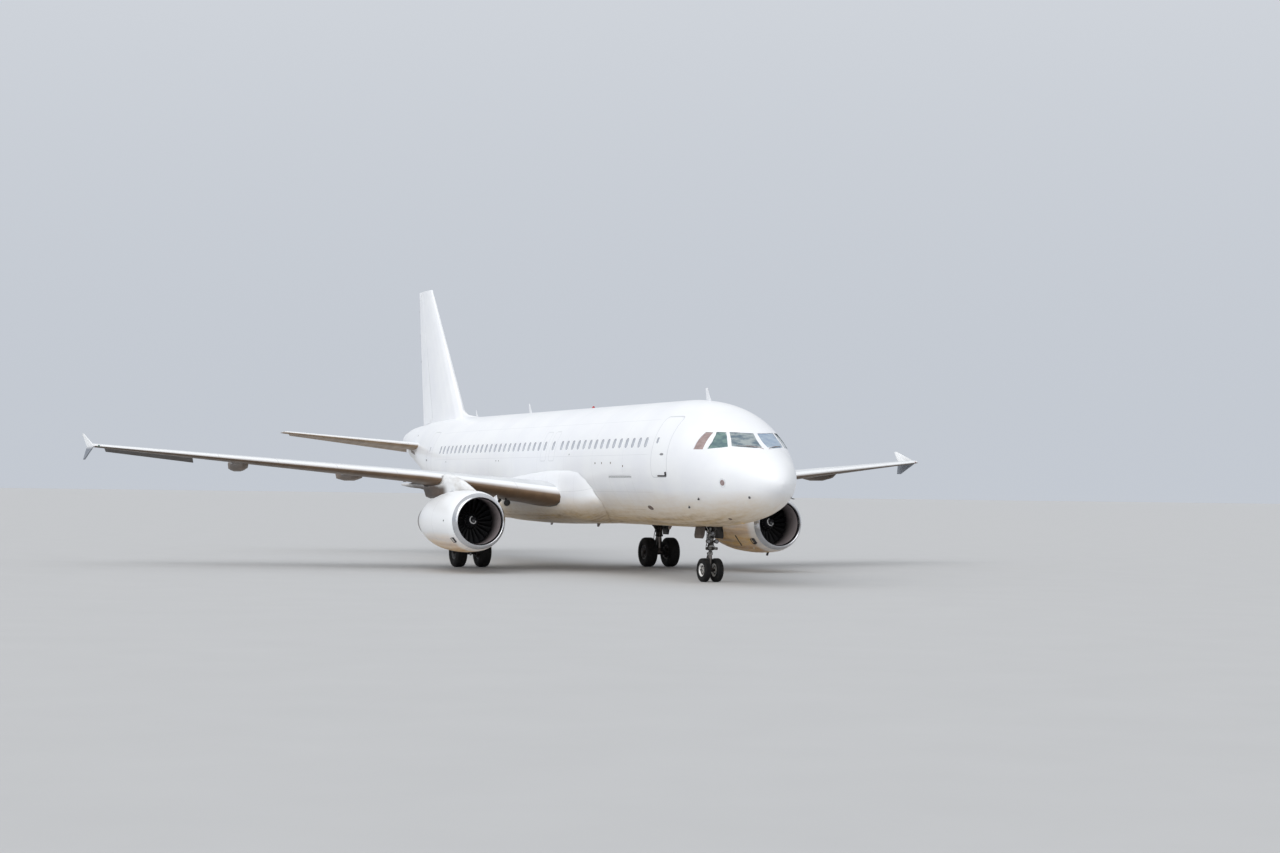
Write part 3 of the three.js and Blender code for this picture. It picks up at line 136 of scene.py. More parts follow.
hull_row = smooth_rows(HULL, lambda station: math.sqrt(max(station, 0.0)))


def hull_reach(x, y, z):
    """How far out a point lies, counted so that the fuselage's skin is at 1."""
    half_width, top, middle, bottom = hull_row(y + LENGTH / 2)
    rise = z - CENTRE_LEVEL - middle
    half_height = top - middle if rise > 0 else middle - bottom
    return math.hypot(x / max(half_width, 0.001), rise / max(half_height, 0.001))


def steepest(reach, point, step):
    """The direction in which a reach grows fastest at a point, which is straight out."""
    x, y, z = point
    return Vector([
        reach(x + step, y, z) - reach(x - step, y, z),
        reach(x, y + step, z) - reach(x, y - step, z),
        reach(x, y, z + step) - reach(x, y, z - step),
    ]).normalized()


def hull_normal(point):
    """The direction straight out of the fuselage's skin at a point."""
    return steepest(hull_reach, point, min(SLOPE_STEP, max(0.002, (point[1] + LENGTH / 2) / 3)))


def hull_point(station, level, side, proud=0.0):
    """The point of the skin at a station and a level on one side, or a little proud of it."""
    half_width, top, middle, bottom = hull_row(station)
    rise = level - CENTRE_LEVEL - middle
    half_height = top - middle if rise > 0 else middle - bottom
    x = half_width * math.sqrt(max(0.0, 1 - (rise / half_height) ** 2))
    point = Vector((side * x, along(station), level))
    return point + hull_normal(point) * proud


def only(*pieces):
    """Leaves these pieces alone selected, with the first one active."""
    bpy.ops.object.select_all(action="DESELECT")
    for piece in pieces:
        piece.select_set(True)
    bpy.context.view_layer.objects.active = pieces[0]


def edit(*steps):
    """Runs steps in edit mode on the active piece."""
    bpy.ops.object.mode_set(mode="EDIT")
    for step in steps:
        step()
    bpy.ops.object.mode_set(mode="OBJECT")


def all_of_it():
    """Selects the whole mesh that is being edited."""
    bpy.ops.mesh.select_all(action="SELECT")


def facing_out():
    """Turns the selected faces of the mesh that is being edited outwards."""
    bpy.ops.mesh.normals_make_consistent(inside=False)


def modified(piece, kind, **settings):
    """Applies one modifier to a piece."""
    only(piece)
    step = piece.modifiers.new("step", kind)
    for name, value in settings.items():
        setattr(step, name, value)
    bpy.ops.object.modifier_apply(modifier="step")


def copy_of(piece):
    """A copy of a piece with its own mesh."""
    copy = piece.copy()
    copy.data = piece.data.copy()
    bpy.context.collection.objects.link(copy)
    return copy


def pick_faces(piece, wanted):
    """Selects the faces of a piece that pass a test, and nothing else on it."""
    only(piece)
    bpy.context.tool_settings.mesh_select_mode = (False, False, True)
    edit(lambda: bpy.ops.mesh.select_all(action="DESELECT"))
    for face in piece.data.polygons:
        face.select = bool(wanted(face))


def finish_piece(piece, name, body, slot, *materials, angle=None):
    """Names a finished piece, gives it its materials and hangs it on its body."""
    only(piece)
    bpy.ops.object.transform_apply(location=True, rotation=True, scale=True)
    if angle is not None:
        bpy.ops.object.shade_smooth_by_angle(angle=math.radians(angle))
    piece.name = name
    piece.data.name = name
    if materials:
        for number, material in enumerate(materials):
            if number < len(piece.data.materials):
                piece.data.materials[number] = material
            else:
                piece.data.materials.append(material)
    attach(piece, body)
    return piece


def dressed(node, slot, material, angle=40, shape=None):
    """A copy of a CAD piece with its faces joined, shaped further, that stands for it."""
    piece = copy_of(frame["nodes"][node])
    piece.parent = None
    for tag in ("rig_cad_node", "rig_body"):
        del piece[tag]
    only(piece)
    bpy.context.tool_settings.mesh_select_mode = (True, False, False)
    edit(all_of_it, lambda: bpy.ops.mesh.remove_doubles(threshold=JOIN_DISTANCE))
    piece.data.materials.clear()
    if shape:
        shape(piece)
    else:
        bpy.ops.object.shade_smooth_by_angle(angle=math.radians(angle))
        modified(piece, "WEIGHTED_NORMAL", keep_sharp=True)
    finish_piece(piece, f"{node}_skin", frame["nodes"][node]["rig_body"], slot, material)
    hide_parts(node)
    return piece


def cut_by(piece, cutter):
    """Cuts one solid out of a piece and drops it."""
    modified(piece, "BOOLEAN", operation="DIFFERENCE", solver="EXACT", object=cutter)
    bpy.data.objects.remove(cutter)


NOSE_TIP_END = 1.05
SKIN_SHARE, TIP_SHARE, PROUD_SHARE = 0.96, 0.75, 1.02


def near_skin(point):
    """Whether a point is as good as on the skin: the nose's tip is curved the most."""
    return hull_reach(*point) > (SKIN_SHARE if point.y > along(NOSE_TIP_END) else TIP_SHARE)


def on_skin(face, agreement=SKIN_AGREEMENT):
    """Whether a face lies on the outside of the fuselage."""
    return hull_normal(face.center).dot(face.normal) > agreement and near_skin(face.center)


def set_on(piece, outside, near, reach_of, middle_at):
    """Splits a piece's outside finer and sets what is near enough on one smooth surface."""
    pick_faces(piece, outside)
    edit(lambda: bpy.ops.mesh.subdivide(number_cuts=SKIN_CUTS))
    for vertex in piece.data.vertices:
        if not vertex.select:
            continue
        reach = reach_of(*vertex.co)
        if near(vertex.co, reach):
            x, y, z = vertex.co
            middle = middle_at(y + LENGTH / 2)
            vertex.co = (x / reach, y, middle + (z - middle) / reach)


def rounded_off(piece):
    """Sets a piece's outer skin on the fuselage's true, round surface."""
    set_on(piece, on_skin, lambda point, reach: near_skin(point) and reach < PROUD_SHARE,
           hull_reach, lambda station: CENTRE_LEVEL + hull_row(station)[2])


def all_smooth(piece):
    """Shades a piece smooth over all its edges and gives its mesh."""
    only(piece)
    bpy.ops.object.shade_smooth()
    sharp = piece.data.attributes.get("sharp_edge")
    if sharp:
        piece.data.attributes.remove(sharp)
    return piece.data


def follow(piece, outside, normal_at):
    """Lets light fall on a piece's outer faces as on the smooth surface that they lie on."""
    mesh = all_smooth(piece)
    skin_normals = {}
    normals = [None] * len(mesh.loops)
    for face in mesh.polygons:
        outer = outside(face)
        for loop in face.loop_indices:
            corner = mesh.loops[loop].vertex_index
            if outer and corner not in skin_normals:
                skin_normals[corner] = normal_at(mesh.vertices[corner].co)
            normals[loop] = skin_normals[corner] if outer else face.normal
    mesh.normals_split_custom_set(normals)


def follow_hull(piece):
    """Lets light fall on a piece's outer faces as on the fuselage's true, round surface."""
    follow(piece, on_skin, hull_normal)


def skin_shape(piece):
    """Rounds a piece's outer skin off and shades it to match."""
    rounded_off(piece)
    follow_hull(piece)


def door_shape(piece):
    """Widens a door's skin a little, so that only its rubber seal's width shows round it."""
    corners = [vertex.co for vertex in piece.data.vertices]
    for axis, anchor in ((1, 0.5), (2, 0.8)):
        low, high = min(co[axis] for co in corners), max(co[axis] for co in corners)
        fixed = low + anchor * (high - low)
        for co in corners:
            co[axis] = fixed + (co[axis] - fixed) * (1 + DOOR_GROWTH / (high - low))
    rounded_off(piece)


def srgb(red, green, blue):
    """A linear colour from 8-bit values."""
    linear = [
        part / 12.92 if part <= 0.04045 else ((part + 0.055) / 1.055) ** 2.4
        for part in (red / 255, green / 255, blue / 255)
    ]
    return (*linear, 1.0)


def feed(tree, socket, value):
    """Gives a socket a value, or links another node's output to it."""
    if isinstance(value, bpy.types.NodeSocket):
        tree.links.new(value, socket)
    else:
        socket.default_value = value


def put(tree, kind, inputs=None, **settings):
    """Adds a shader node with its settings; its inputs take values or other nodes' outputs."""
    made = tree.nodes.new(f"ShaderNode{kind}")
    for name, value in settings.items():
        setattr(made, name, value)
    for name, value in (inputs or {}).items():
        feed(tree, made.inputs[name], value)
    return made


def calc(tree, operation, *values):
    """A Math node's output."""
    return put(tree, "Math", dict(enumerate(values)), operation=operation).outputs[0]


def times(tree, *values):
    """The product of two values."""
    return calc(tree, "MULTIPLY", *values)


def plus(tree, *values):
    """The sum of two values."""
    return calc(tree, "ADD", *values)


def minus(tree, *values):
    """The difference of two values."""
    return calc(tree, "SUBTRACT", *values)


def mottle(tree, value, start, end, first, second):
    """A surface that goes from one colour to the other as a pattern's value rises."""
    return mix(tree, ramp(tree, value, start, end), first, second)


def relief(tree, height, strength, depth):
    """The normals of a surface with a fine relief."""
    inputs = {"Height": height, "Strength": strength, "Distance": depth}
    return put(tree, "Bump", inputs).outputs["Normal"]


def ramp(tree, value, start, end, low=0.0, high=1.0, kind="SMOOTHSTEP"):
    """Carries a value smoothly from one range to another."""
    inputs = {"Value": value, "From Min": start, "From Max": end, "To Min": low, "To Max": high}
    return put(tree, "MapRange", inputs, interpolation_type=kind).outputs["Result"]


def noise(tree, vector, scale, detail=4.0, roughness=0.55, stretch=(1, 1, 1)):
    """A noise pattern's value, with the pattern squeezed along each axis as given."""
    if stretch != (1, 1, 1):
        vector = put(tree, "Mapping", {"Vector": vector, "Scale": stretch}).outputs["Vector"]
    inputs = {"Vector": vector, "Scale": scale, "Detail": detail, "Roughness": roughness}
    return put(tree, "TexNoise", inputs).outputs["Fac"]


def mix(tree, share, first, second):
    """The blend of two colours."""
    made = put(tree, "Mix", data_type="RGBA")
    for place, value in ((0, share), (6, first), (7, second)):
        feed(tree, made.inputs[place], value)
    return made.outputs[2]


def split(tree, vector):
    """A vector's three parts."""
    return put(tree, "SeparateXYZ", {"Vector": vector}).outputs


def new_group(name, inputs, outputs):
    """An empty node group: its tree, its inputs and its output node."""
    tree = bpy.data.node_groups.new(name, "ShaderNodeTree")
    for label, kind, value in inputs:
        socket = tree.interface.new_socket(label, in_out="INPUT", socket_type=f"NodeSocket{kind}")
        if value is not None:
            socket.default_value = value
    for label, kind in outputs:
        tree.interface.new_socket(label, in_out="OUTPUT", socket_type=f"NodeSocket{kind}")
    return tree, tree.nodes.new("NodeGroupInput").outputs, tree.nodes.new("NodeGroupOutput").inputs


def use(tree, group, **inputs):
    """Places a node group in a material and gives its outputs."""
    made = tree.nodes.new("ShaderNodeGroup")
    made.node_tree = group
    for name, value in inputs.items():
        feed(tree, made.inputs[name.replace("_", " ")], value)
    return made.outputs


def new_material(name, **sockets):
    """A material, its tree, its shader and its Object coordinates."""
    material = bpy.data.materials.new(name)
    material.use_nodes = True
    tree = material.node_tree
    shader = tree.nodes["Principled BSDF"]
    for socket, value in sockets.items():
        shader.inputs[socket.replace("_", " ")].default_value = value
    return material, tree, shader, put(tree, "TexCoord").outputs["Object"]


def wire(tree, shader, **sockets):
    """Links outputs to the shader's sockets."""
    for socket, value in sockets.items():
        tree.links.new(value, shader.inputs[socket.replace("_", " ")])


def airflow_grime_group():
    """Dirt that gathers below a level and lies in streaks along the airflow."""
    tree, given, end = new_group(
        "airflow_grime",
        [("Vector", "Vector", None), ("Clean", "Float", 2.6), ("Dirty", "Float", 1.9)],
        [("Grime", "Float")])
    level = split(tree, given["Vector"])["Z"]
    patches = noise(tree, given["Vector"], 0.9, stretch=(1, 0.2, 1))
    streaks = noise(tree, given["Vector"], 6.0, detail=6, stretch=(1, 0.05, 1))
    spots = noise(tree, given["Vector"], 9.0, detail=5, stretch=(1, 0.4, 1))
    shift = times(tree, minus(tree, patches, 0.5), 0.5)
    low = ramp(tree, plus(tree, level, shift), given["Clean"], given["Dirty"], kind="LINEAR")
    broken = times(tree, low, ramp(tree, streaks, 0.3, 0.7, 0.75, 1.0))
    broken = times(tree, broken, ramp(tree, spots, 0.3, 0.7, 0.85, 1.0))
    tree.links.new(broken, end["Grime"])
    return tree


SEAM_SHIFT = 0.37


def panel_seam_group():
    """Straight seams in two directions on a surface laid flat."""
    tree, given, end = new_group(
        "panel_seams",
        [("Vector", "Vector", None), ("Length", "Float", 2.5), ("Height", "Float", 1.0),
         ("Width", "Float", 0.004)],
        [("Seam", "Float"), ("Relief", "Float")])
    parts = split(tree, given["Vector"])
    near = [
        calc(tree, "PINGPONG", plus(tree, parts[axis], SEAM_SHIFT), times(tree, given[size], 0.5))
        for axis, size in (("X", "Length"), ("Y", "Height"))
    ]
    nearest = calc(tree, "MINIMUM", *near)
    seam = ramp(tree, nearest, times(tree, given["Width"], 2.0), given["Width"])
    tree.links.new(seam, end["Seam"])
    tree.links.new(minus(tree, 1.0, seam), end["Relief"])
    return tree


def painted_outline_group():
    """A line round a rectangle with round corners, as seen from the side."""
    tree, given, end = new_group(
        "painted_outline",
        [("Vector", "Vector", None), ("Middle Y", "Float", 0.0), ("Middle Z", "Float", 0.0),
         ("Half Length", "Float", 0.5), ("Half Height", "Float", 1.0), ("Corner", "Float", 0.15),
         ("Width", "Float", 0.03)],
        [("Line", "Float")])
    parts = split(tree, given["Vector"])
    beyond = []
    for axis, half in (("Y", "Half Length"), ("Z", "Half Height")):
        off = calc(tree, "ABSOLUTE", minus(tree, parts[axis], given[f"Middle {axis}"]))
        straight = minus(tree, given[half], given["Corner"])
        beyond.append(minus(tree, off, straight))
    outside = [calc(tree, "MAXIMUM", value, 0.0) for value in beyond]
    squares = [times(tree, value, value) for value in outside]
    round_part = calc(tree, "SQRT", plus(tree, *squares))
    inner_part = calc(tree, "MINIMUM", calc(tree, "MAXIMUM", *beyond), 0.0)
    distance = minus(tree, plus(tree, round_part, inner_part), given["Corner"])
    half_width = times(tree, given["Width"], 0.5)
    line = ramp(tree, calc(tree, "ABSOLUTE", distance), half_width,
                times(tree, half_width, 0.6))
    tree.links.new(line, end["Line"])
    return tree


airflow_grime = airflow_grime_group()
panel_seams = panel_seam_group()
painted_outline = painted_outline_group()


def round_plan(tree, place):
    """Coordinates on the fuselage's skin laid flat: along it, and round it, in metres."""
    parts = split(tree, place)
    turn = calc(tree, "ARCTAN2", parts["X"], minus(tree, parts["Z"], CENTRE_LEVEL))
    girth = times(tree, turn, HULL_RADIUS)
    return put(tree, "CombineXYZ", {"X": parts["Y"], "Y": girth}).outputs["Vector"]


def side_plan(tree, place):
    """Coordinates on an upright surface: along the airflow and up."""
    parts = split(tree, place)
    return put(tree, "CombineXYZ", {"X": parts["Y"], "Y": parts["Z"]}).outputs["Vector"]


WHITE_PAINT = srgb(241, 242, 243)
SHADED_PAINT = srgb(236, 237, 240)
SEAM_GREY = srgb(168, 170, 174)
# The tan and the brown are grime, made warmer and stronger as painted light bounced up from brown ground.
GRIME_TAN_AND_WARM_BOUNCE = srgb(208, 174, 112)
GRIME_BROWN_AND_WARM_BOUNCE = srgb(150, 116, 68)
SEAM_DEPTH = 0.002
STRAIGHT_FRONT, STRAIGHT_REAR = (5.5, 6.0), (28.5, 28.0)


def painted_skin(name, plan, clean, dirty, length=2.66, height=1.24, amount=1.0, outlines=None):
    """White paint over riveted skin, with seams, painted outlines and grime below a level, warmed with
    painted bounce light.
    """
    material, tree, shader, place = new_material(
        name, Coat_Weight=0.25, Coat_Roughness=0.12, Specular_IOR_Level=0.4)
    grime = use(tree, airflow_grime, Vector=place, Clean=clean, Dirty=dirty)
    seams = use(tree, panel_seams, Vector=plan(tree, place), Length=length, Height=height)
    paint = mottle(tree, noise(tree, place, 0.7, detail=3), 0.3, 0.7, WHITE_PAINT, SHADED_PAINT)
    # The seams follow other lines on the curved nose and tail, too faint to see.
    along_body = split(tree, place)["Y"]
    straight = times(tree, *(
        ramp(tree, along_body, along(start), along(end)) for start, end in (STRAIGHT_FRONT, STRAIGHT_REAR)))
    faint = times(tree, seams["Seam"], times(tree, straight, 0.3))
    if outlines:
        faint = calc(tree, "MAXIMUM", faint, outlines(tree, place))
    paint = mix(tree, faint, paint, SEAM_GREY)
    heavy = times(tree, ramp(tree, grime["Grime"], 0.5, 1.0),
                 ramp(tree, noise(tree, place, 3.0, stretch=(1, 0.3, 1)), 0.3, 0.7))
    dirt = mix(tree, heavy, GRIME_TAN_AND_WARM_BOUNCE, GRIME_BROWN_AND_WARM_BOUNCE)
    share = times(tree, grime["Grime"], amount)
    wire(tree, shader, Base_Color=mix(tree, share, paint, dirt),
         Normal=relief(tree, seams["Relief"], 0.3, SEAM_DEPTH),
         Roughness=ramp(tree, share, 0.0, 1.0, 0.32, 0.62))
    return material


# The overwing exits: their stations, the level of their middles, and half their size.
EXIT_STATIONS = (14.33, 15.17)
EXIT_LEVEL = 4.43
EXIT_HALF = (0.255, 0.51)
OUTLINE_REACH = 0.014


def door_outlines(tree, place):
    """The thin grey lines painted round the doors, the exits and the hold doors."""
    rows = []
    for door in ("passenger_door_front_right", "passenger_door_rear_right"):
        rows.append((*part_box(door), 0.15, 0.55, False))
    for door in ("cargo_door_forward", "cargo_door_aft"):
        rows.append((*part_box(door), 0.1, 0.16, True))
    for station in EXIT_STATIONS:
        middle, half = Vector((0, along(station), EXIT_LEVEL)), Vector((0, *EXIT_HALF))
        rows.append((middle - half, middle + half, 0.1, 0.45, False))
    right_side = calc(tree, "LESS_THAN", split(tree, place)["X"], 0.0)
    lines = None
    for low, high, corner, strength, right_only in rows:
        middle, half = (low + high) / 2, (high - low) / 2
        line = use(
            tree, painted_outline, Vector=place, Middle_Y=middle.y, Middle_Z=middle.z,
            Half_Length=half.y + OUTLINE_REACH, Half_Height=half.z + OUTLINE_REACH,
            Corner=corner)["Line"]
        line = times(tree, line, strength)
        if right_only:
            line = times(tree, line, right_side)
        lines = calc(tree, "MAXIMUM", lines, line) if lines else line
    return lines


fuselage_paint = painted_skin(
    "fuselage_paint", round_plan, 2.95, 1.9, outlines=door_outlines)
hull_sections = {
    section: dressed(section, "white_skin", fuselage_paint, shape=rounded_off)
    for section in ("fuselage_nose", "fuselage_centre", "fuselage_rear", "tail_cone")
}
PASSENGER_DOORS = [
    f"passenger_door_{end}_{side}" for end in ("front", "rear") for side in ("left", "right")]
for door in PASSENGER_DOORS:
    hull_sections[door] = dressed(door, "white_skin", fuselage_paint, shape=door_shape)

# Cabin windows
# Acrylic panes in rubber seals, let into the skin in forged frames. The grey blinds behind
# them are pulled down. Small round-cornered panes sit in the passenger doors as well.
WINDOW_LEVEL = 4.45
WINDOW_SIZE = (0.23, 0.34)
WINDOW_CORNER = 0.1
WINDOW_PITCH = 0.5334
FIRST_WINDOW_FRONT, WINDOWS_FRONT = 6.033, 15
FIRST_WINDOW_REAR, WINDOWS_REAR = 15.758, 23
WINDOW_STATIONS = [
    *[FIRST_WINDOW_FRONT + WINDOW_PITCH * number for number in range(WINDOWS_FRONT)], *EXIT_STATIONS,
    *[FIRST_WINDOW_REAR + WINDOW_PITCH * number for number in range(WINDOWS_REAR)],
]
DOOR_WINDOW = {"front": (5.2, 4.5), "rear": (29.4, 4.5)}
DOOR_WINDOW_SHARE = 0.62
SEAL_WIDTH = 0.011
POCKET_DEPTH = 0.02
PANE_DEPTH = 0.009
POCKET_ROOM = 0.002
POCKET_REACH = 0.04
UNIT_THICKNESS = 0.006
SIDES = (("left", 1), ("right", -1))


def window_outline(share=1.0, room=0.0):
    """A flat face with round corners, facing up."""
    bpy.ops.mesh.primitive_plane_add(size=1)
    pane = bpy.context.object
    pane.scale = [size * share + 2 * room for size in WINDOW_SIZE] + [1]
    bpy.ops.object.transform_apply(scale=True)
    edit(all_of_it, lambda: bpy.ops.mesh.bevel(
        offset=WINDOW_CORNER * share + room, segments=5, profile=0.5, affect="VERTICES"))
    return pane


def skin_place(station, level, side, depth=0.0):
    """The matrix that lays a piece flat on the skin, its Y up and its Z straight out."""
    point = hull_point(station, level, side)
    out = hull_normal(point)
    up = (Vector((0, 0, 1)) - out * out.z).normalized()
    right = up.cross(out)
    turn = Matrix((right, up, out)).transposed().to_4x4()
    return Matrix.Translation(point - out * depth) @ turn


def copies_joined(pattern, places):
    """Copies a piece to each place, joins the copies and drops the pattern."""
    made = []
    for place in places:
        copy = copy_of(pattern)
        copy.data.transform(place)
        copy.matrix_world = Matrix.Identity(4)
        made.append(copy)
    only(*made)
    if len(made) > 1:
        bpy.ops.object.join()
    bpy.data.objects.remove(pattern)
    return made[0]


def thickened(piece, thickness, offset):
    """Gives a thin piece its thickness, inwards with an offset of -1 and both ways with 0."""
    modified(piece, "SOLIDIFY", thickness=thickness, offset=offset)
    return piece


def window_pocket(share=1.0):
    """The solid that is cut out of the skin for one window."""
    pocket = window_outline(share, POCKET_ROOM)
    edit(lambda: bpy.ops.mesh.extrude_region_move(
        TRANSFORM_OT_translate={"value": (0, 0, POCKET_DEPTH + POCKET_REACH)}))
    edit(all_of_it, facing_out)
    pocket.data.transform(Matrix.Translation((0, 0, -POCKET_DEPTH)))
    return pocket


def window_unit(share=1.0):
    """A pane in its seal, with a back that fills the pocket."""
    unit = window_outline(share)
    edit(all_of_it,
         lambda: bpy.ops.mesh.inset(thickness=SEAL_WIDTH, depth=0),
         lambda: bpy.ops.mesh.inset(thickness=0.002, depth=-0.003))
    unit.data.materials.append(window_seal)
    unit.data.materials.append(window_pane)
    for face in unit.data.polygons:
        face.material_index = 1 if face.select else 0
    return thickened(unit, UNIT_THICKNESS, -1)


def seal_material():
    """Grey rubber."""
    material, tree, shader, place = new_material("window_seal", Roughness=0.6)
    wire(tree, shader, Base_Color=mix(
        tree, noise(tree, place, 30), srgb(150, 153, 158), srgb(122, 125, 130)))
    return material


def pane_material():
    """Clear acrylic over a closed grey blind, with painted shade under the frame's upper edge."""
    material, tree, shader, place = new_material(
        "window_pane", Roughness=0.12, Coat_Weight=1.0, Coat_Roughness=0.03)
    level = split(tree, place)["Z"]
    # Painted shade: the blind grows darker towards the frame's upper edge.
    shade = ramp(tree, level, WINDOW_LEVEL - 0.15, WINDOW_LEVEL + 0.16)
    folds = noise(tree, place, 2.0, detail=2)
    blind = mottle(tree, folds, 0.35, 0.65, srgb(196, 200, 207), srgb(180, 185, 194))
    wire(tree, shader, Base_Color=mix(
        tree, times(tree, shade, 0.4), blind, srgb(140, 146, 156)))
    return material


window_seal = seal_material()
window_pane = pane_material()
SECTIONS = (("fuselage_nose", 1.0, 6.2), ("fuselage_centre", 6.2, 24.6), ("fuselage_rear", 24.6, 35.8))
for section, front, rear in SECTIONS:
    stations = [station for station in WINDOW_STATIONS if front < station < rear]
    pockets = copies_joined(window_pocket(), [
        skin_place(station, WINDOW_LEVEL, side) for station in stations for side in (-1, 1)])
    cut_by(hull_sections[section], pockets)
for word, side in SIDES:
    windows = copies_joined(window_unit(), [
        skin_place(station, WINDOW_LEVEL, side, PANE_DEPTH) for station in WINDOW_STATIONS])
    finish_piece(
        windows, f"cabin_windows_{word}", "airframe", "cockpit_glass", window_seal, window_pane)
    for end, (station, level) in DOOR_WINDOW.items():
        door = f"passenger_door_{end}_{word}"
        pocket = copies_joined(window_pocket(DOOR_WINDOW_SHARE), [skin_place(station, level, side)])
        cut_by(hull_sections[door], pocket)
        pane = copies_joined(
            window_unit(DOOR_WINDOW_SHARE), [skin_place(station, level, side, PANE_DEPTH)])
        finish_piece(
            pane, f"door_window_{end}_{word}", "airframe", "cockpit_glass", window_seal, window_pane)
for piece in hull_sections.values():
    follow_hull(piece)

# Hold doors
# Two doors on the right side with hinges along their upper edges and latches along their
# lower ones, made like the fuselage's skin.
for door in ("cargo_door_forward", "cargo_door_aft"):
    follow_hull(dressed(door, "white_skin", fuselage_paint, shape=door_shape))

# Radome
# A dome of glass-fibre composite over the weather radar, painted to match and hinged to the
# nose's front frame.
radome_paint = painted_skin("radome_paint", round_plan, 2.95, 1.9, length=9, height=13)
dressed("radome", "white_composite", radome_paint, shape=skin_shape)


# Cockpit glazing
# Six panes of laminated glass in riveted metal frames. Each pane is nearly flat, and its colour is painted
# reflection of cloud and sky, tinted differently by pane.
PANE_AGREEMENT = 0.8
SIDE_PANE_START = 2.55
FRONT_PANE_REACH = 0.86
PANE_FLATNESS = 0.85


def pane_shape(piece):
    """Lets each pane's outer face reflect as one flat sheet."""
    mesh = all_smooth(piece)
    panes = {}
    for face in mesh.polygons:
        if on_skin(face, PANE_AGREEMENT):
            x, y, _ = face.center
            ahead = "front" if abs(x) < FRONT_PANE_REACH else "forward"
            kind = "side" if y > along(SIDE_PANE_START) else ahead
            panes.setdefault((kind, x > 0), []).append(face)
    normals = [Vector(face.normal) for face in mesh.polygons for _ in face.loop_indices]
    for faces in panes.values():
        mean = sum((face.normal * face.area for face in faces), Vector()).normalized()
        for face in faces:
            for loop in face.loop_indices:
                bent = face.normal * (1 - PANE_FLATNESS) + mean * PANE_FLATNESS
                normals[loop] = bent.normalized()
    mesh.normals_split_custom_set(normals)


def glass_material():
    """Glass painted with reflections: brownish at the side, teal beside the front, and pale cloud and blue
    sky ahead.
    """
    material, tree, shader, place = new_material(
        "cockpit_glass", Specular_IOR_Level=0.7, Coat_Weight=1.0, Coat_Roughness=0.02)
    parts = split(tree, place)
    swirl = noise(tree, place, 2.6, detail=5, roughness=0.6, stretch=(1, 1, 2.5))
    # Painted reflections: swirled cloud and sky, brownish at the side and teal beside the front.
    painted_cloud_reflection = mottle(tree, swirl, 0.38, 0.62, srgb(74, 98, 112), srgb(150, 160, 160))
    light = mottle(tree, swirl, 0.35, 0.65, srgb(112, 140, 170), srgb(150, 172, 190))
    teal = mottle(tree, swirl, 0.35, 0.65, srgb(62, 96, 102), srgb(104, 134, 128))
    brown = mottle(tree, swirl, 0.35, 0.65, srgb(140, 116, 112), srgb(164, 142, 138))
    colour = mix(tree, ramp(tree, parts["X"], -0.05, 0.05), painted_cloud_reflection, light)
    beside = calc(tree, "GREATER_THAN", calc(tree, "ABSOLUTE", parts["X"]), FRONT_PANE_REACH)
    aside = calc(tree, "GREATER_THAN", parts["Y"], along(SIDE_PANE_START))
    colour = mix(tree, beside, colour, teal)
    wire(tree, shader, Base_Color=mix(tree, aside, colour, brown),
         Roughness=ramp(tree, noise(tree, place, 12), 0.3, 0.7, 0.05, 0.12))
    return material


cockpit_glass = glass_material()
dressed("cockpit_glazing", "cockpit_glass", cockpit_glass, shape=pane_shape)

# Belly fairing
# Composite panels screwed over the wing root, the gear bays and the air-conditioning packs.
# Each row: station, half width, levels of the top and the bottom.
BELLY = [
    (10.48, 1.5, 3.07, 2.33), (10.75, 1.79, 3.4, 2.15), (11.1, 1.92, 3.69, 2.0),
    (11.7, 2.03, 3.86, 1.85), (12.6, 2.09, 3.91, 1.74), (14.5, 2.11, 3.89, 1.685),
    (17.0, 2.11, 3.71, 1.635), (19.5, 2.07, 3.45, 1.665), (21.3, 1.9, 3.2, 1.76),
    (22.45, 1.5, 3.0, 1.96),
]
BELLY_FULLNESS = (4.0, 2.94)
BELLY_STEP = 0.03
BELLY_SHARE, BELLY_BAND = 0.98, 0.05
BELLY_AGREEMENT = 0.75
BELLY_NEAR = (0.9, 1.04)
belly_row = smooth_rows(BELLY, lambda station: station)


def belly_reach(x, y, z):
    """How far out a point lies, counted so that the fairing's skin is at 1."""
    half_width, top, bottom = belly_row(y + LENGTH / 2)
    rise = (z - (top + bottom) / 2) / ((top - bottom) / 2)
    power = BELLY_FULLNESS[0] if rise > 0 else BELLY_FULLNESS[1]
    return (abs(x / half_width) ** power + abs(rise) ** power) ** (1 / power)


def belly_normal(point):
    """The direction straight out of the fairing's skin at a point."""
    return steepest(belly_reach, point, BELLY_STEP)


def on_belly(face):
    """Whether a face lies on the outside of the fairing."""
    return abs(belly_reach(*face.center) - BELLY_SHARE) < BELLY_BAND and (
        belly_normal(face.center).dot(face.normal) > BELLY_AGREEMENT)


def belly_shape(piece):
    """Sets the fairing's outside on one smooth surface."""
    set_on(piece, on_belly, lambda point, reach: BELLY_NEAR[0] < reach < BELLY_NEAR[1],
           belly_reach, lambda station: sum(belly_row(station)[1:]) / 2)
    follow(piece, on_belly, belly_normal)


belly_paint = painted_skin("belly_paint", round_plan, 2.75, 1.95, length=1.3, height=0.9)
dressed("belly_fairing", "grimy_fairing", belly_paint, shape=belly_shape)


# Wings
# Aluminium boxes with slats ahead and flaps behind, a fence at each tip and fairings over
# the flap tracks. The upper side is white and pale grey, the underside brown with dirt.
ROOT_SEAL_END = 2.09
TIP_REACH, TIP_LEVEL = 16.94, 4.2
FENCE_GREY = srgb(124, 130, 140)


def surface_normal(tree):
    """The three parts of the surface's own normal."""
    return split(tree, put(tree, "NewGeometry").outputs["Normal"])


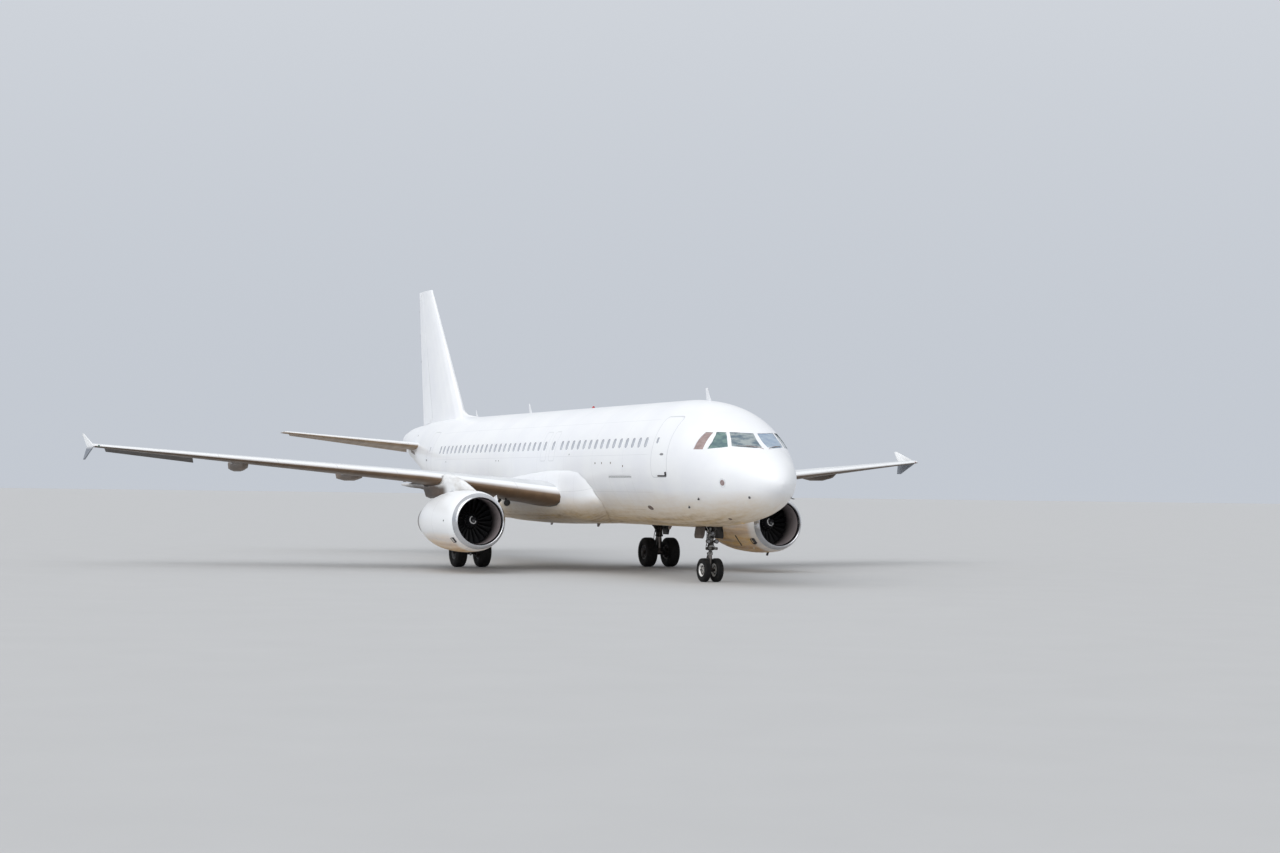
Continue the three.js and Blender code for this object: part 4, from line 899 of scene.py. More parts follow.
def wing_material(name, light, dark, leading, seal=0.0):
    """Painted skin by its side, with seams that run with the leading edge."""
    material, tree, shader, place = new_material(name, Coat_Weight=0.15, Coat_Roughness=0.3)
    under = ramp(tree, surface_normal(tree)["Z"], 0.88, 0.12, kind="LINEAR")
    parts = split(tree, place)
    span = calc(tree, "ABSOLUTE", parts["X"])
    edge = None
    for start, end, front, rear in leading:
        piece = ramp(tree, span, start, end, front, rear, kind="LINEAR")
        edge = plus(tree, edge, piece) if edge else piece
    aft = minus(tree, parts["Y"], edge)
    plan = put(tree, "CombineXYZ", {"X": span, "Y": plus(tree, aft, 0.03)}).outputs["Vector"]
    seams = use(tree, panel_seams, Vector=plan, Length=1.9, Height=0.9)
    streaks = noise(tree, place, 4.0, detail=6, stretch=(1, 0.1, 1))
    patches = noise(tree, place, 0.9, detail=4)
    bottom = mix(tree, ramp(tree, span, 3.0, 17.0, kind="LINEAR"), light, dark)
    streaked = times(tree, ramp(tree, streaks, 0.35, 0.75), 0.4)
    bottom = mix(tree, streaked, bottom, srgb(70, 56, 42))
    top = mottle(tree, patches, 0.3, 0.7, srgb(222, 224, 226), srgb(206, 209, 212))
    slat = calc(tree, "LESS_THAN", aft, ramp(tree, span, 2.0, 16.95, 0.42, 0.26, kind="LINEAR"))
    top = mix(tree, slat, top, srgb(238, 239, 240))
    colour = mix(tree, under, top, bottom)
    colour = mix(tree, times(tree, seams["Seam"], 0.35), colour, srgb(96, 90, 82))
    if seal:
        # A dark band where the wing meets the fairing: partly the root's rubber seal, partly painted shadow
        # in that joint.
        colour = mix(tree, calc(tree, "LESS_THAN", span, seal), colour, srgb(74, 70, 64))
        fence = mix(
            tree, ramp(tree, parts["Z"], TIP_LEVEL - 0.1, TIP_LEVEL + 0.05), FENCE_GREY, WHITE_PAINT)
        colour = mix(tree, calc(tree, "GREATER_THAN", span, TIP_REACH), colour, fence)
    wire(tree, shader, Base_Color=colour, Normal=relief(tree, seams["Relief"], 0.3, SEAM_DEPTH),
         Roughness=ramp(tree, streaks, 0.2, 0.8, 0.42, 0.6))
    return material


# Where the leading edges run: from and to this far out, then the places along Y between.
WING_EDGE = [(1.98, 6.4, along(12.93), along(15.23)), (6.4, 16.95, 0.0, 5.49)]
TAIL_EDGE = [(0.2, 6.22, along(32.027), along(35.84))]
wing_skin = wing_material(
    "wing_skin", srgb(112, 86, 60), srgb(78, 62, 46), WING_EDGE, seal=ROOT_SEAL_END)
# The ailerons' underside is nearly black brown: dirt, darkened further with painted shade.
control_skin = wing_material("control_skin", srgb(62, 50, 40), srgb(44, 36, 30), WING_EDGE)
tail_skin = wing_material("tail_skin", srgb(150, 124, 94), srgb(104, 86, 66), TAIL_EDGE)
SURFACES = (
    ("wing", "wing_skin", wing_skin), ("flap", "wing_skin", wing_skin),
    ("aileron", "grey_composite", control_skin), ("tailplane", "grey_composite", tail_skin),
    ("elevator", "grey_composite", tail_skin))
for side in ("left", "right"):
    for kind, slot, paint in SURFACES:
        dressed(f"{kind}_{side}", slot, paint, angle=50)

# Fin and rudder
# Composite boxes painted white. The rudder is hinged behind the fin on brackets.
fin_paint = painted_skin("fin_paint", side_plan, 0.2, 0.1, length=2.1, height=1.9, amount=0.0)
for part in ("fin", "rudder"):
    dressed(part, "white_composite", fin_paint, angle=50)


# Engines
# Two turbofans. A bare metal lip leads into each painted composite cowl, and behind the fan
# the cold stream and the core leave through one nozzle.
def metal(name, colour, roughness, metallic=1.0, dark=0.75):
    """Bare metal with fine grain, blotches and wear."""
    material, tree, shader, place = new_material(name, Metallic=metallic)
    fine = noise(tree, place, 90.0, detail=3)
    blotch = noise(tree, place, 2.5, detail=5)
    worn = tuple(part * dark for part in colour[:3]) + (1.0,)
    wire(tree, shader, Base_Color=mottle(tree, blotch, 0.35, 0.7, colour, worn),
         Roughness=ramp(tree, blotch, 0.2, 0.8, roughness * 0.8, roughness * 1.25),
         Normal=relief(tree, fine, 0.03, 0.0005))
    return material


# Each row: radius, distance aft of the intake's front.
COWL_OUTSIDE = [
    (0.822, 0), (0.84, 0.008), (0.862, 0.03), (0.905, 0.1), (0.948, 0.2), (0.99, 0.34), (1.02, 0.5),
    (1.038, 0.74), (1.048, 1.0), (1.06, 1.3), (1.065, 1.6), (1.06, 2.0), (1.042, 2.4), (1.02, 2.8),
    (0.988, 3.2), (0.935, 3.6), (0.866, 4.0), (0.795, 4.3), (0.715, 4.6), (0.618, 4.95), (0.56, 5.25),
]
COWL_INSIDE = [
    (0.54, 5.25), (0.598, 4.95), (0.76, 3.5), (0.812, 1.5), (0.812, 1.0), (0.792, 0.7), (0.764, 0.45),
    (0.764, 0.3), (0.775, 0.15), (0.784, 0.08), (0.796, 0.04), (0.808, 0.01),
]
LIP_DEPTH = 0.2
LIP_INSIDE_DEPTH = 0.15
SEAT_GAP = 0.0003
ENGINE_X = 5.65
ENGINE_LEVEL = 1.785
ENGINE_TILT = 0.9
INTAKE_STATION = 11.23
ENGINE_STEPS = 112
SPIN_JOIN = 0.00002


def in_engine(side):
    """The matrix that puts a piece built along Y from the intake's front in its place."""
    place = Matrix.Translation((side * ENGINE_X, along(INTAKE_STATION), ENGINE_LEVEL))
    return place @ Matrix.Rotation(math.radians(-ENGINE_TILT), 4, "X")


def traced(points):
    """A line of edges through points, drawn by extruding a vertex from one to the next."""
    bpy.ops.mesh.primitive_plane_add(size=0.02)
    line = bpy.context.object
    bpy.context.tool_settings.mesh_select_mode = (True, False, False)
    bpy.ops.object.mode_set(mode="EDIT")
    bpy.ops.mesh.select_all(action="SELECT")
    bpy.ops.mesh.merge(type="CENTER")
    bpy.ops.transform.translate(value=points[0])
    for near, far in zip(points, points[1:]):
        bpy.ops.mesh.extrude_vertices_move(
            TRANSFORM_OT_translate={"value": Vector(far) - Vector(near)})
    bpy.ops.object.mode_set(mode="OBJECT")
    return line


def spun(rows, steps=ENGINE_STEPS, axis="Y"):
    """A turned piece about an axis, from (radius, distance along the axis) rows."""
    lay = {
        "X": lambda radius, run: (run, radius, 0),
        "Y": lambda radius, run: (radius, run, 0),
        "Z": lambda radius, run: (radius, 0, run),
    }[axis]
    piece = traced([lay(radius, run) for radius, run in rows])
    turn = {"X": (1, 0, 0), "Y": (0, 1, 0), "Z": (0, 0, 1)}[axis]
    edit(all_of_it,
         lambda: bpy.ops.mesh.spin(steps=steps, angle=2 * math.pi, center=(0, 0, 0), axis=turn),
         all_of_it,
         lambda: bpy.ops.mesh.remove_doubles(threshold=SPIN_JOIN),
         facing_out)
    return piece


def placed(piece, matrix):
    """Moves a piece's mesh by a matrix, with its faces kept pointing out."""
    piece.data.transform(matrix)
    if matrix.determinant() < 0:
        piece.data.flip_normals()
    return piece


def lip_rows():
    """The intake lip's section, with a hair's gap to the cowl behind it."""
    outside = [row for row in COWL_OUTSIDE if row[1] < LIP_DEPTH]
    inside = [row for row in COWL_INSIDE if row[1] < LIP_INSIDE_DEPTH]
    seats = [(0.948, LIP_DEPTH - SEAT_GAP), (0.775, LIP_INSIDE_DEPTH - SEAT_GAP)]
    return [*outside, *seats, *inside, outside[0]]


def cowl_rows():
    """The cowl's section behind the lip."""
    outside = [row for row in COWL_OUTSIDE if row[1] >= LIP_DEPTH]
    inside = [row for row in COWL_INSIDE if row[1] >= LIP_INSIDE_DEPTH]
    return [*outside, *inside, outside[0]]


def cowl_material():
    """White paint outside with tan streaks below, grey acoustic lining inside the intake, turned dark
    deeper in with painted shade.
    """
    material, tree, shader, place = new_material(
        "cowl_paint", Coat_Weight=0.25, Coat_Roughness=0.15, Specular_IOR_Level=0.4)
    parts = split(tree, place)
    across = minus(tree, calc(tree, "ABSOLUTE", parts["X"]), ENGINE_X)
    aft = minus(tree, parts["Y"], along(INTAKE_STATION))
    drop = times(tree, aft, math.tan(math.radians(ENGINE_TILT)))
    height = plus(tree, minus(tree, parts["Z"], ENGINE_LEVEL), drop)
    turn = calc(tree, "ARCTAN2", across, height)
    plan = put(tree, "CombineXYZ", {"X": aft, "Y": plus(tree, turn, math.pi)}).outputs["Vector"]
    seams = use(tree, panel_seams, Vector=plan, Length=2.46, Height=6.28, Width=0.005)
    # The left cowl is yellow well up its sides, the right one only along its foot: tan stains on both, and
    # on the left cowl, which lies in shade, painted shade as well.
    left = calc(tree, "GREATER_THAN", parts["X"], 0.0)
    grime = use(tree, airflow_grime, Vector=place, Clean=ramp(tree, left, 0.0, 1.0, 1.4, 2.7),
                Dirty=ramp(tree, left, 0.0, 1.0, 0.75, 1.2))
    runs = noise(tree, place, 5.0, detail=5, stretch=(1, 0.07, 1))
    low = times(tree, grime["Grime"], ramp(tree, aft, 0.35, 0.75, 0.35, 1.0))
    paint = mix(tree, times(tree, seams["Seam"], 0.5), WHITE_PAINT, SEAM_GREY)
    tan = mottle(tree, runs, 0.35, 0.7, srgb(236, 188, 104), srgb(190, 138, 66))
    outer = mix(tree, low, paint, tan)
    hot = ramp(tree, aft, 4.55, 5.2)
    outer = mix(tree, times(tree, hot, 0.9), outer, srgb(82, 70, 60))
    dots = put(tree, "TexVoronoi", {"Vector": plan, "Scale": 60.0, "Randomness": 0.0}).outputs["Distance"]
    lining = mottle(tree, dots, 0.1, 0.35, srgb(112, 106, 106), srgb(152, 142, 142))
    # Painted shade: the lining goes dark deeper inside the intake.
    lining = mottle(tree, aft, 0.6, 1.2, lining, srgb(46, 44, 44))
    # The wall that faces the axis has its normal pointing inwards.
    normal = surface_normal(tree)
    sideways = times(tree, calc(tree, "SIGN", parts["X"]), times(tree, across, normal["X"]))
    outwards = plus(tree, sideways, times(tree, height, normal["Z"]))
    inside = calc(tree, "LESS_THAN", outwards, 0.0)
    wire(tree, shader, Base_Color=mix(tree, inside, outer, lining),
         Normal=relief(tree, seams["Relief"], 0.4, SEAM_DEPTH),
         Roughness=ramp(tree, calc(tree, "MAXIMUM", low, hot), 0.0, 1.0, 0.3, 0.6))
    return material


FAN_BLADES = 22
FAN_MIDDLE = 1.15
FAN_ROOT = 0.2
FAN_TIP = 0.788
BLADE_THICKNESS = 0.009
ROOT_CHORD, TIP_CHORD = 0.09, 0.29
BLADE_CAMBER = 0.03
ROOT_LEAN, TIP_LEAN = 22, 60


def fan_blade():
    """One twisted, tapered blade that stands on the axis, thin at its edges."""
    bpy.ops.mesh.primitive_grid_add(x_subdivisions=6, y_subdivisions=10, size=1)
    blade = bpy.context.object
    for vertex in blade.data.vertices:
        share = vertex.co.y + 0.5
        chord = ROOT_CHORD + (TIP_CHORD - ROOT_CHORD) * share
        camber = BLADE_CAMBER * (1 - (2 * vertex.co.x) ** 2)
        lean = math.radians(ROOT_LEAN + (TIP_LEAN - ROOT_LEAN) * share)
        reach = FAN_ROOT + share * (FAN_TIP - FAN_ROOT)
        across, aft = vertex.co.x * chord * math.sin(lean), vertex.co.x * chord * math.cos(lean)
        vertex.co = (across + camber * math.cos(lean), FAN_MIDDLE + aft - camber * math.sin(lean), reach)
    return thickened(blade, BLADE_THICKNESS, 0)


COMMA_WIDTH, COMMA_START = 0.014, 1.7
BOLT_RING = 0.234


def distance_from(tree, across, height):
    """How far a place lies from an axis, from its two offsets."""
    return calc(tree, "SQRT", plus(tree, times(tree, across, across), times(tree, height, height)))


def spinner_mark_material():
    """Black paint with one white spiral comma and a faint ring, which show that the fan turns."""
    material, tree, shader, place = new_material("spinner_paint", Coat_Weight=0.4, Coat_Roughness=0.2)
    parts = split(tree, place)
    across = minus(tree, calc(tree, "ABSOLUTE", parts["X"]), ENGINE_X)
    height = minus(tree, parts["Z"], ENGINE_LEVEL)
    radius = distance_from(tree, across, height)
    turn = calc(tree, "ARCTAN2", height, times(tree, across, calc(tree, "SIGN", parts["X"])))
    turn = calc(tree, "FLOORED_MODULO", turn, 2 * math.pi)
    spiral = minus(tree, 0.205, times(tree, turn, 0.026))
    off = calc(tree, "ABSOLUTE", minus(tree, radius, spiral))
    comma = times(
        tree, calc(tree, "LESS_THAN", off, COMMA_WIDTH), calc(tree, "GREATER_THAN", turn, COMMA_START))
    on_ring = calc(tree, "LESS_THAN", calc(tree, "ABSOLUTE", minus(tree, radius, BOLT_RING)), 0.007)
    near_bolt = calc(tree, "LESS_THAN", calc(tree, "PINGPONG", turn, math.pi / 20), 0.03)
    bolts = times(tree, on_ring, near_bolt)
    worn = noise(tree, place, 14, detail=4)
    black = mottle(tree, worn, 0.3, 0.7, srgb(22, 22, 24), srgb(40, 40, 43))
    black = mix(tree, bolts, black, srgb(150, 148, 144))
    wire(tree, shader, Base_Color=mix(tree, comma, black, srgb(232, 232, 230)),
         Roughness=ramp(tree, worn, 0.3, 0.7, 0.3, 0.5))
    return material


def pylon_material():
    """White paint ahead, dark brown low down behind."""
    material, tree, shader, place = new_material("pylon_paint", Coat_Weight=0.2, Coat_Roughness=0.2)
    parts = split(tree, place)
    patches = noise(tree, place, 3.0, detail=6, stretch=(1, 0.4, 1))
    level = plus(tree, parts["Z"], times(tree, minus(tree, patches, 0.5), 0.3))
    behind = ramp(tree, parts["Y"], along(14.2), along(14.9))
    low = times(tree, ramp(tree, level, 3.1, 2.85), behind)
    seams = use(tree, panel_seams, Vector=side_plan(tree, place), Length=1.4, Height=0.9)
    paint = mottle(tree, patches, 0.4, 0.75, WHITE_PAINT, srgb(206, 203, 198))
    paint = mix(tree, times(tree, seams["Seam"], 0.3), paint, SEAM_GREY)
    low_rear_brown = mottle(tree, patches, 0.35, 0.7, srgb(98, 80, 66), srgb(66, 52, 44))
    wire(tree, shader, Base_Color=mix(tree, low, paint, low_rear_brown),
         Roughness=ramp(tree, low, 0.0, 1.0, 0.35, 0.65))
    return material


lip_metal = metal("lip_metal", srgb(212, 213, 216), 0.2, dark=0.85)
# The fan blades' bare metal is painted nearly black: painted shade from deep inside the intake.
fan_metal = metal("fan_metal", srgb(26, 26, 28), 0.5, metallic=0.5)
core_metal = metal("core_metal", srgb(70, 64, 58), 0.45)
spinner_paint = spinner_mark_material()
cowl_paint = cowl_material()
pylon_paint = pylon_material()
SPINNER_ROWS = [
    (0, 0.64), (0.035, 0.645), (0.07, 0.665), (0.118, 0.715), (0.16, 0.78), (0.2, 0.855), (0.23, 0.93),
    (0.248, 0.99), (0.255, 1.04), (0.255, 1.285), (0, 1.285),
]
SHELLS = (
    ("intake_lip", lip_rows(), "bare_lip", lip_metal),
    ("engine_cowl", cowl_rows(), "cowl_skin", cowl_paint),
)
for word, side in SIDES:
    place = in_engine(side)
    for kind, rows, slot, paint in SHELLS:
        piece = placed(spun(rows), place)
        finish_piece(piece, f"{kind}_{word}_skin", "airframe", slot, paint, angle=40)
        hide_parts(f"{kind}_{word}")
    spinner = placed(spun(SPINNER_ROWS, steps=64), place)
    finish_piece(spinner, f"spinner_{word}", f"fan_{word}", "dark_metal", spinner_paint, angle=40)
    blades = copies_joined(fan_blade(), [
        place @ Matrix.Rotation(2 * math.pi * number / FAN_BLADES, 4, "Y") for number in range(FAN_BLADES)])
    finish_piece(blades, f"fan_blades_{word}", f"fan_{word}", "dark_metal", fan_metal, angle=50)
    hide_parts(f"fan_{word}")
    dressed(f"engine_core_{word}", "dark_metal", core_metal, angle=60)
    dressed(f"pylon_{word}", "white_skin", pylon_paint, angle=50)

# Wheels
# Tubeless tyres with grooved treads on forged hubs that are bolted together from halves,
# two to a leg. The nose hubs are painted light grey, the main ones are dark with brake dust.
NOSE_WHEEL = {"radius": 0.38, "width": 0.224, "rim": 0.2, "bore": 0.0462, "groove": 0.009}
MAIN_WHEEL = {"radius": 0.556, "width": 0.43, "rim": 0.262, "bore": 0.0715, "groove": 0.013}
WHEEL_STEPS = 72
TREAD_GROOVES = (-0.42, -0.14, 0.14, 0.42)
HUB_BOLTS = 10


def rubber_material():
    """Black rubber, greyer where dust lies on the tread."""
    material, tree, shader, place = new_material("tyre_rubber", Specular_IOR_Level=0.3)
    dust = noise(tree, place, 11.0, detail=6)
    fine = noise(tree, place, 120.0, detail=3)
    wire(tree, shader, Normal=relief(tree, fine, 0.25, 0.002),
         Base_Color=mottle(tree, dust, 0.4, 0.8, srgb(17, 17, 18), srgb(44, 42, 40)),
         Roughness=ramp(tree, dust, 0.3, 0.7, 0.75, 0.95))
    return material


def grimy_metal(name, clean, dirty, share, roughness=0.5, metallic=0.3):
    """Painted or bare steel under grease and brake dust."""
    material, tree, shader, place = new_material(name, Metallic=metallic)
    patches = noise(tree, place, 7.0, detail=6)
    fine = noise(tree, place, 60.0, detail=4)
    both = plus(tree, patches, times(tree, fine, 0.2))
    dirt = ramp(tree, both, 0.75 - share * 0.45, 0.85 - share * 0.3)
    wire(tree, shader, Base_Color=mix(tree, dirt, clean, dirty), Normal=relief(tree, fine, 0.2, 0.001),
         Roughness=ramp(tree, dirt, 0.0, 1.0, roughness, 0.8))
    return material


def hub_material(name, ring, dish, boss, size, axle):
    """A painted hub, lighter on its flange and its boss than in the dish between, which is darkened with
    painted shade.
    """
    material, tree, shader, place = new_material(name, Metallic=0.2)
    parts = split(tree, place)
    off = [minus(tree, parts[axis], middle) for axis, middle in zip("YZ", axle)]
    radius = distance_from(tree, *off)
    patches = noise(tree, place, 9.0, detail=6)
    colour = mix(tree, ramp(tree, radius, size["rim"] * 0.42, size["rim"] * 0.5), boss, dish)
    colour = mix(tree, ramp(tree, radius, size["rim"] * 0.74, size["rim"] * 0.82), colour, ring)
    wire(tree, shader, Base_Color=mix(
        tree, times(tree, ramp(tree, patches, 0.45, 0.8), 0.7), colour, srgb(52, 47, 43)),
        Roughness=ramp(tree, patches, 0.3, 0.8, 0.4, 0.75))
    return material


tyre_rubber = rubber_material()
NOSE_AXLE = (along(5.07), NOSE_WHEEL["radius"])
MAIN_AXLE = (along(17.71), MAIN_WHEEL["radius"])
# Each hub's dish colour is painted shade in the wheel's recess.
nose_hub_paint = hub_material(
    "nose_hub_paint", srgb(232, 231, 228), srgb(66, 61, 57), srgb(186, 183, 178), NOSE_WHEEL, NOSE_AXLE)
main_hub_paint = hub_material(
    "main_hub_paint", srgb(96, 96, 98), srgb(30, 28, 28), srgb(60, 58, 58), MAIN_WHEEL, MAIN_AXLE)
hub_bolt_steel = grimy_metal("hub_bolt_steel", srgb(150, 150, 150), srgb(60, 56, 52), 0.4, metallic=0.9)


def tyre_rows(size):
    """The tyre's section as (radius, distance across) rows."""
    half, radius, rim = size["width"] / 2, size["radius"], size["rim"]
    depth = radius - rim
    side = [(0.0, 0.7), (0.1, 0.84), (0.3, 0.97), (0.5, 1.0), (0.68, 0.975), (0.84, 0.88), (0.94, 0.77)]
    rows = [(rim + share * depth, -across * half) for share, across in side]
    rows.append((radius - 0.012 * depth, -0.6 * half))
    for middle in TREAD_GROOVES:
        bottom = radius - size["groove"]
        rows += [(radius, (middle - 0.035) * half), (bottom, (middle - 0.02) * half),
                 (bottom, (middle + 0.02) * half), (radius, (middle + 0.035) * half)]
    rows.append((radius - 0.012 * depth, 0.6 * half))
    rows += [(rim + share * depth, across * half) for share, across in reversed(side)]
    return [*rows, rows[0]]


def hub_rows(size):
    """The hub's section: a flange that holds the bead, a dish and a boss round the axle."""
    half, rim, bore = size["width"] / 2, size["rim"], size["bore"]
    face = [
        (rim - 0.004, 0.66), (rim + 0.014, 0.7), (rim + 0.014, 0.75), (rim - 0.002, 0.79),
        (rim * 0.94, 0.76), (rim * 0.87, 0.56), (rim * 0.8, 0.42), (rim * 0.5, 0.4),
        (rim * 0.44, 0.5), (rim * 0.36, 0.56), (bore + 0.012, 0.56), (bore, 0.53)]
    rows = [(radius, across * half) for radius, across in face]
    rows += [(radius, -across) for radius, across in reversed(rows)]
    return [*rows, rows[0]]


def broken_edges(width, segments=2):
    """Bevels all edges of the active piece."""
    edit(all_of_it,
         lambda: bpy.ops.mesh.bevel(offset=width, segments=segments, affect="EDGES"))


def hex_bolt(size, depth):
    """A hexagon bolt head with a rounded top, along X."""
    bpy.ops.mesh.primitive_cylinder_add(
        vertices=6, radius=size, depth=depth, rotation=(0, math.pi / 2, 0))
    bolt = bpy.context.object
    bpy.ops.object.transform_apply(rotation=True)
    broken_edges(depth * 0.2, segments=1)
    return bolt


def wheel(size, hub_paint):
    """A whole wheel about its axle, with its centre at the origin."""
    tyre = spun(tyre_rows(size), WHEEL_STEPS, "X")
    tyre.data.materials.append(tyre_rubber)
    hub = spun(hub_rows(size), WHEEL_STEPS, "X")
    hub.data.materials.append(hub_paint)
    bolt = hex_bolt(size["rim"] * 0.06, 0.02)
    bolt.data.materials.append(hub_bolt_steel)
    half = size["width"] / 2
    bolts = copies_joined(bolt, [
        Matrix.Rotation(2 * math.pi * number / HUB_BOLTS, 4, "X")
        @ Matrix.Translation((side * 0.42 * half, 0, size["rim"] * 0.66))
        for number in range(HUB_BOLTS) for side in (-1, 1)])
    only(tyre, hub, bolts)
    bpy.ops.object.join()
    bpy.ops.object.shade_smooth_by_angle(angle=math.radians(32))
    return tyre


def fit_wheels(size, hub_paint, nodes):
    """Copies the wheel onto each CAD wheel's axle."""
    pattern = wheel(size, hub_paint)
    for node in nodes:
        low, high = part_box(node)
        middle = (low + high) / 2
        copy = copy_of(pattern)
        placed(copy, Matrix.Translation((middle.x, middle.y, size["radius"])))
        finish_piece(copy, f"{node}_tyre_and_hub", frame["nodes"][node]["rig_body"], "tyre")
        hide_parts(node)
    bpy.data.objects.remove(pattern)


fit_wheels(NOSE_WHEEL, nose_hub_paint, ["nose_wheel_left", "nose_wheel_right"])
fit_wheels(MAIN_WHEEL, main_hub_paint, [
    f"main_wheel_{place}_{side}" for place in ("outer", "inner") for side in ("left", "right")])

# Nose gear
# A forged leg with a shock strut, a steering valve, lamps and pipes, held by a folding stay
# between two small doors. It is painted light grey and spotted with grease.
nose_gear_paint = grimy_metal("nose_gear_paint", srgb(150, 149, 147), srgb(40, 35, 32), 0.72)
dark_gear_paint = grimy_metal("dark_gear_paint", srgb(82, 74, 70), srgb(28, 23, 21), 0.7)
worn_chrome = metal("worn_chrome", srgb(118, 112, 108), 0.3, dark=0.5)
pipe_rubber = grimy_metal("pipe_rubber", srgb(34, 34, 36), srgb(18, 17, 16), 0.5, metallic=0.0)


def lamp_glass_material():
    """A lens over a reflector, fluted from side to side."""
    material, tree, shader, place = new_material("lamp_glass", Roughness=0.08, Coat_Weight=1.0)
    flutes = calc(tree, "PINGPONG", split(tree, place)["X"], 0.008)
    wire(tree, shader, Base_Color=mottle(
        tree, flutes, 0.0, 0.008, srgb(150, 150, 152), srgb(92, 94, 98)))
    return material


lamp_glass = lamp_glass_material()


def pipe(points, radius, name, material):
    """A bent pipe or hose through points."""
    bpy.ops.curve.primitive_nurbs_path_add()
    line = bpy.context.object
    curve = line.data
    curve.splines.clear()
    spline = curve.splines.new("NURBS")
    spline.points.add(len(points) - 1)
    for point, place in zip(spline.points, points):
        point.co = (*place, 1)
    spline.use_endpoint_u = True
    spline.order_u = min(4, len(points))
    curve.resolution_u = 5
    curve.bevel_depth = radius
    curve.bevel_resolution = 2
    curve.use_fill_caps = True
    only(line)
    bpy.ops.object.convert(target="MESH")
    return finish_piece(bpy.context.object, name, "airframe", "gear_steel", material, angle=50)


def ring_on(rows, place, name, material, body="airframe", steps=40, axis="Z"):
    """A turned piece from rows about an axis, moved to its place."""
    piece = placed(spun(rows, steps, axis), Matrix.Translation(place))
    return finish_piece(piece, name, body, "gear_steel", material, angle=35)


dressed("nose_gear_leg", "gear_steel", nose_gear_paint, angle=35)
dressed("nose_gear_fork", "gear_steel", nose_gear_paint, angle=35)
LEG_CLAMP = [(0.084, -0.03), (0.1, -0.03), (0.104, -0.02), (0.104, 0.02), (0.1, 0.03), (0.084, 0.03)]
NOSE_PISTON = [(0.0585, 0.5), (0.0605, 0.5), (0.0605, 0.85), (0.0585, 0.85)]
TAXI_LAMP = [
    (0, 0.03), (0.04, 0.02), (0.052, -0.005), (0.055, -0.02), (0.048, -0.03), (0.045, -0.02),
    (0.03, -0.028), (0, -0.034)]
TAKE_OFF_LAMP = [
    (0, 0.05), (0.04, 0.04), (0.056, 0.0), (0.06, -0.02), (0.054, -0.03), (0.05, -0.02),
    (0.034, -0.032), (0, -0.038)]
AXLE_NUT = [(0, -0.012), (0.03, -0.012), (0.034, -0.004), (0.034, 0.004), (0.03, 0.012), (0, 0.012)]
AXLE_END = 0.332
LAMP_REACH = 0.16
axle_y, axle_level = NOSE_AXLE
# Each pipe's points on the left side: X, how far behind the axle, and the level.
LEG_HOSE = [(0.1, 0.02, 2.0), (0.11, 0.05, 1.7), (0.1, 0.06, 1.4), (0.13, 0.02, 1.15)]
STEERING_PIPE = [(0.19, -0.095, 1.07), (0.16, 0.05, 1.12), (0.07, 0.12, 1.2), (0.05, 0.1, 1.5)]
DOOR_ROD = [(0.276, -0.1, 1.86), (0.2, -0.11, 1.76), (0.09, -0.1, 1.6)]
BAY_PIPE = [(0.1, 0.17, 1.8), (0.2, 0.17, 1.88), (0.22, 0.14, 2.0), (0.2, 0.1, 2.1)]
PLUG_CABLE = [(0.05, -0.14, 1.9), (0.13, -0.12, 1.97), (0.15, -0.08, 2.05), (0.13, -0.04, 2.12)]


def by_leg(points, side):
    """A nose gear pipe's points on one side."""
    return [(side * x, axle_y + y, z) for x, y, z in points]


NOSE_CLAMP_LEVELS = (1.14, 1.5, 1.9)
for number, level in enumerate(NOSE_CLAMP_LEVELS):
    ring_on(LEG_CLAMP, (0, axle_y, level), f"nose_leg_clamp_{number}", hub_bolt_steel)
ring_on(NOSE_PISTON, (0, axle_y, 0), "nose_piston", worn_chrome, body="nose_fork")
for word, side in SIDES:
    ring_on(TAXI_LAMP, (side * 0.14, axle_y - LAMP_REACH, 1.3), f"taxi_lamp_{word}", lamp_glass, axis="Y")
    pipe(by_leg(LEG_HOSE, side), 0.011, f"nose_leg_hose_{word}", pipe_rubber)
    pipe(by_leg(STEERING_PIPE, side), 0.009, f"steering_pipe_{word}", pipe_rubber)
    ring_on(AXLE_NUT, (side * AXLE_END, axle_y, axle_level), f"nose_axle_nut_{word}",
            hub_bolt_steel, body="nose_fork", axis="X", steps=12)
ring_on(TAKE_OFF_LAMP, (0, axle_y - LAMP_REACH, 1.56), "take_off_lamp", lamp_glass, axis="Y")
pipe([(0, axle_y - 0.12, 1.56), (0, axle_y - 0.08, 1.56)], 0.03, "lamp_bracket", dark_gear_paint)


def block_of(size, place=(0, 0, 0)):
    """A plain block with its middle at a place."""
    bpy.ops.mesh.primitive_cube_add(size=1, location=place)
    block = bpy.context.object
    block.scale = size
    bpy.ops.object.transform_apply(location=True, scale=True)
    return block


def cast_block(size, place, name):
    """A machined block with broken edges, such as a valve body or an electric box."""
    block = block_of(size, place)
    pick_faces(block, lambda face: face.normal.y < -0.9)
    edit(lambda: bpy.ops.mesh.inset(thickness=min(size[0], size[2]) * 0.16),
         lambda: bpy.ops.transform.translate(value=(0, size[1] * 0.15, 0)))
    broken_edges(0.012)
    finish_piece(block, name, "airframe", "gear_steel", dark_gear_paint, angle=40)


# Two bright rods hold the doors to the leg.
rod_metal = metal("rod_metal", srgb(206, 204, 200), 0.35)
for word, side in SIDES:
    pipe(by_leg(DOOR_ROD, side), 0.014, f"door_rod_{word}", rod_metal)
# The steering valve and the box of electric plugs on the leg, and pipes up into the bay.
cast_block((0.24, 0.12, 0.2), (0, axle_y + 0.17, 1.74), "steering_valve")
cast_block((0.13, 0.1, 0.16), (0.0, axle_y - 0.14, 1.86), "plug_box")
for word, side in SIDES:
    pipe(by_leg(BAY_PIPE, side), 0.014, f"bay_pipe_{word}", pipe_rubber)
    pipe(by_leg(PLUG_CABLE, side), 0.012, f"plug_cable_{word}", pipe_rubber)


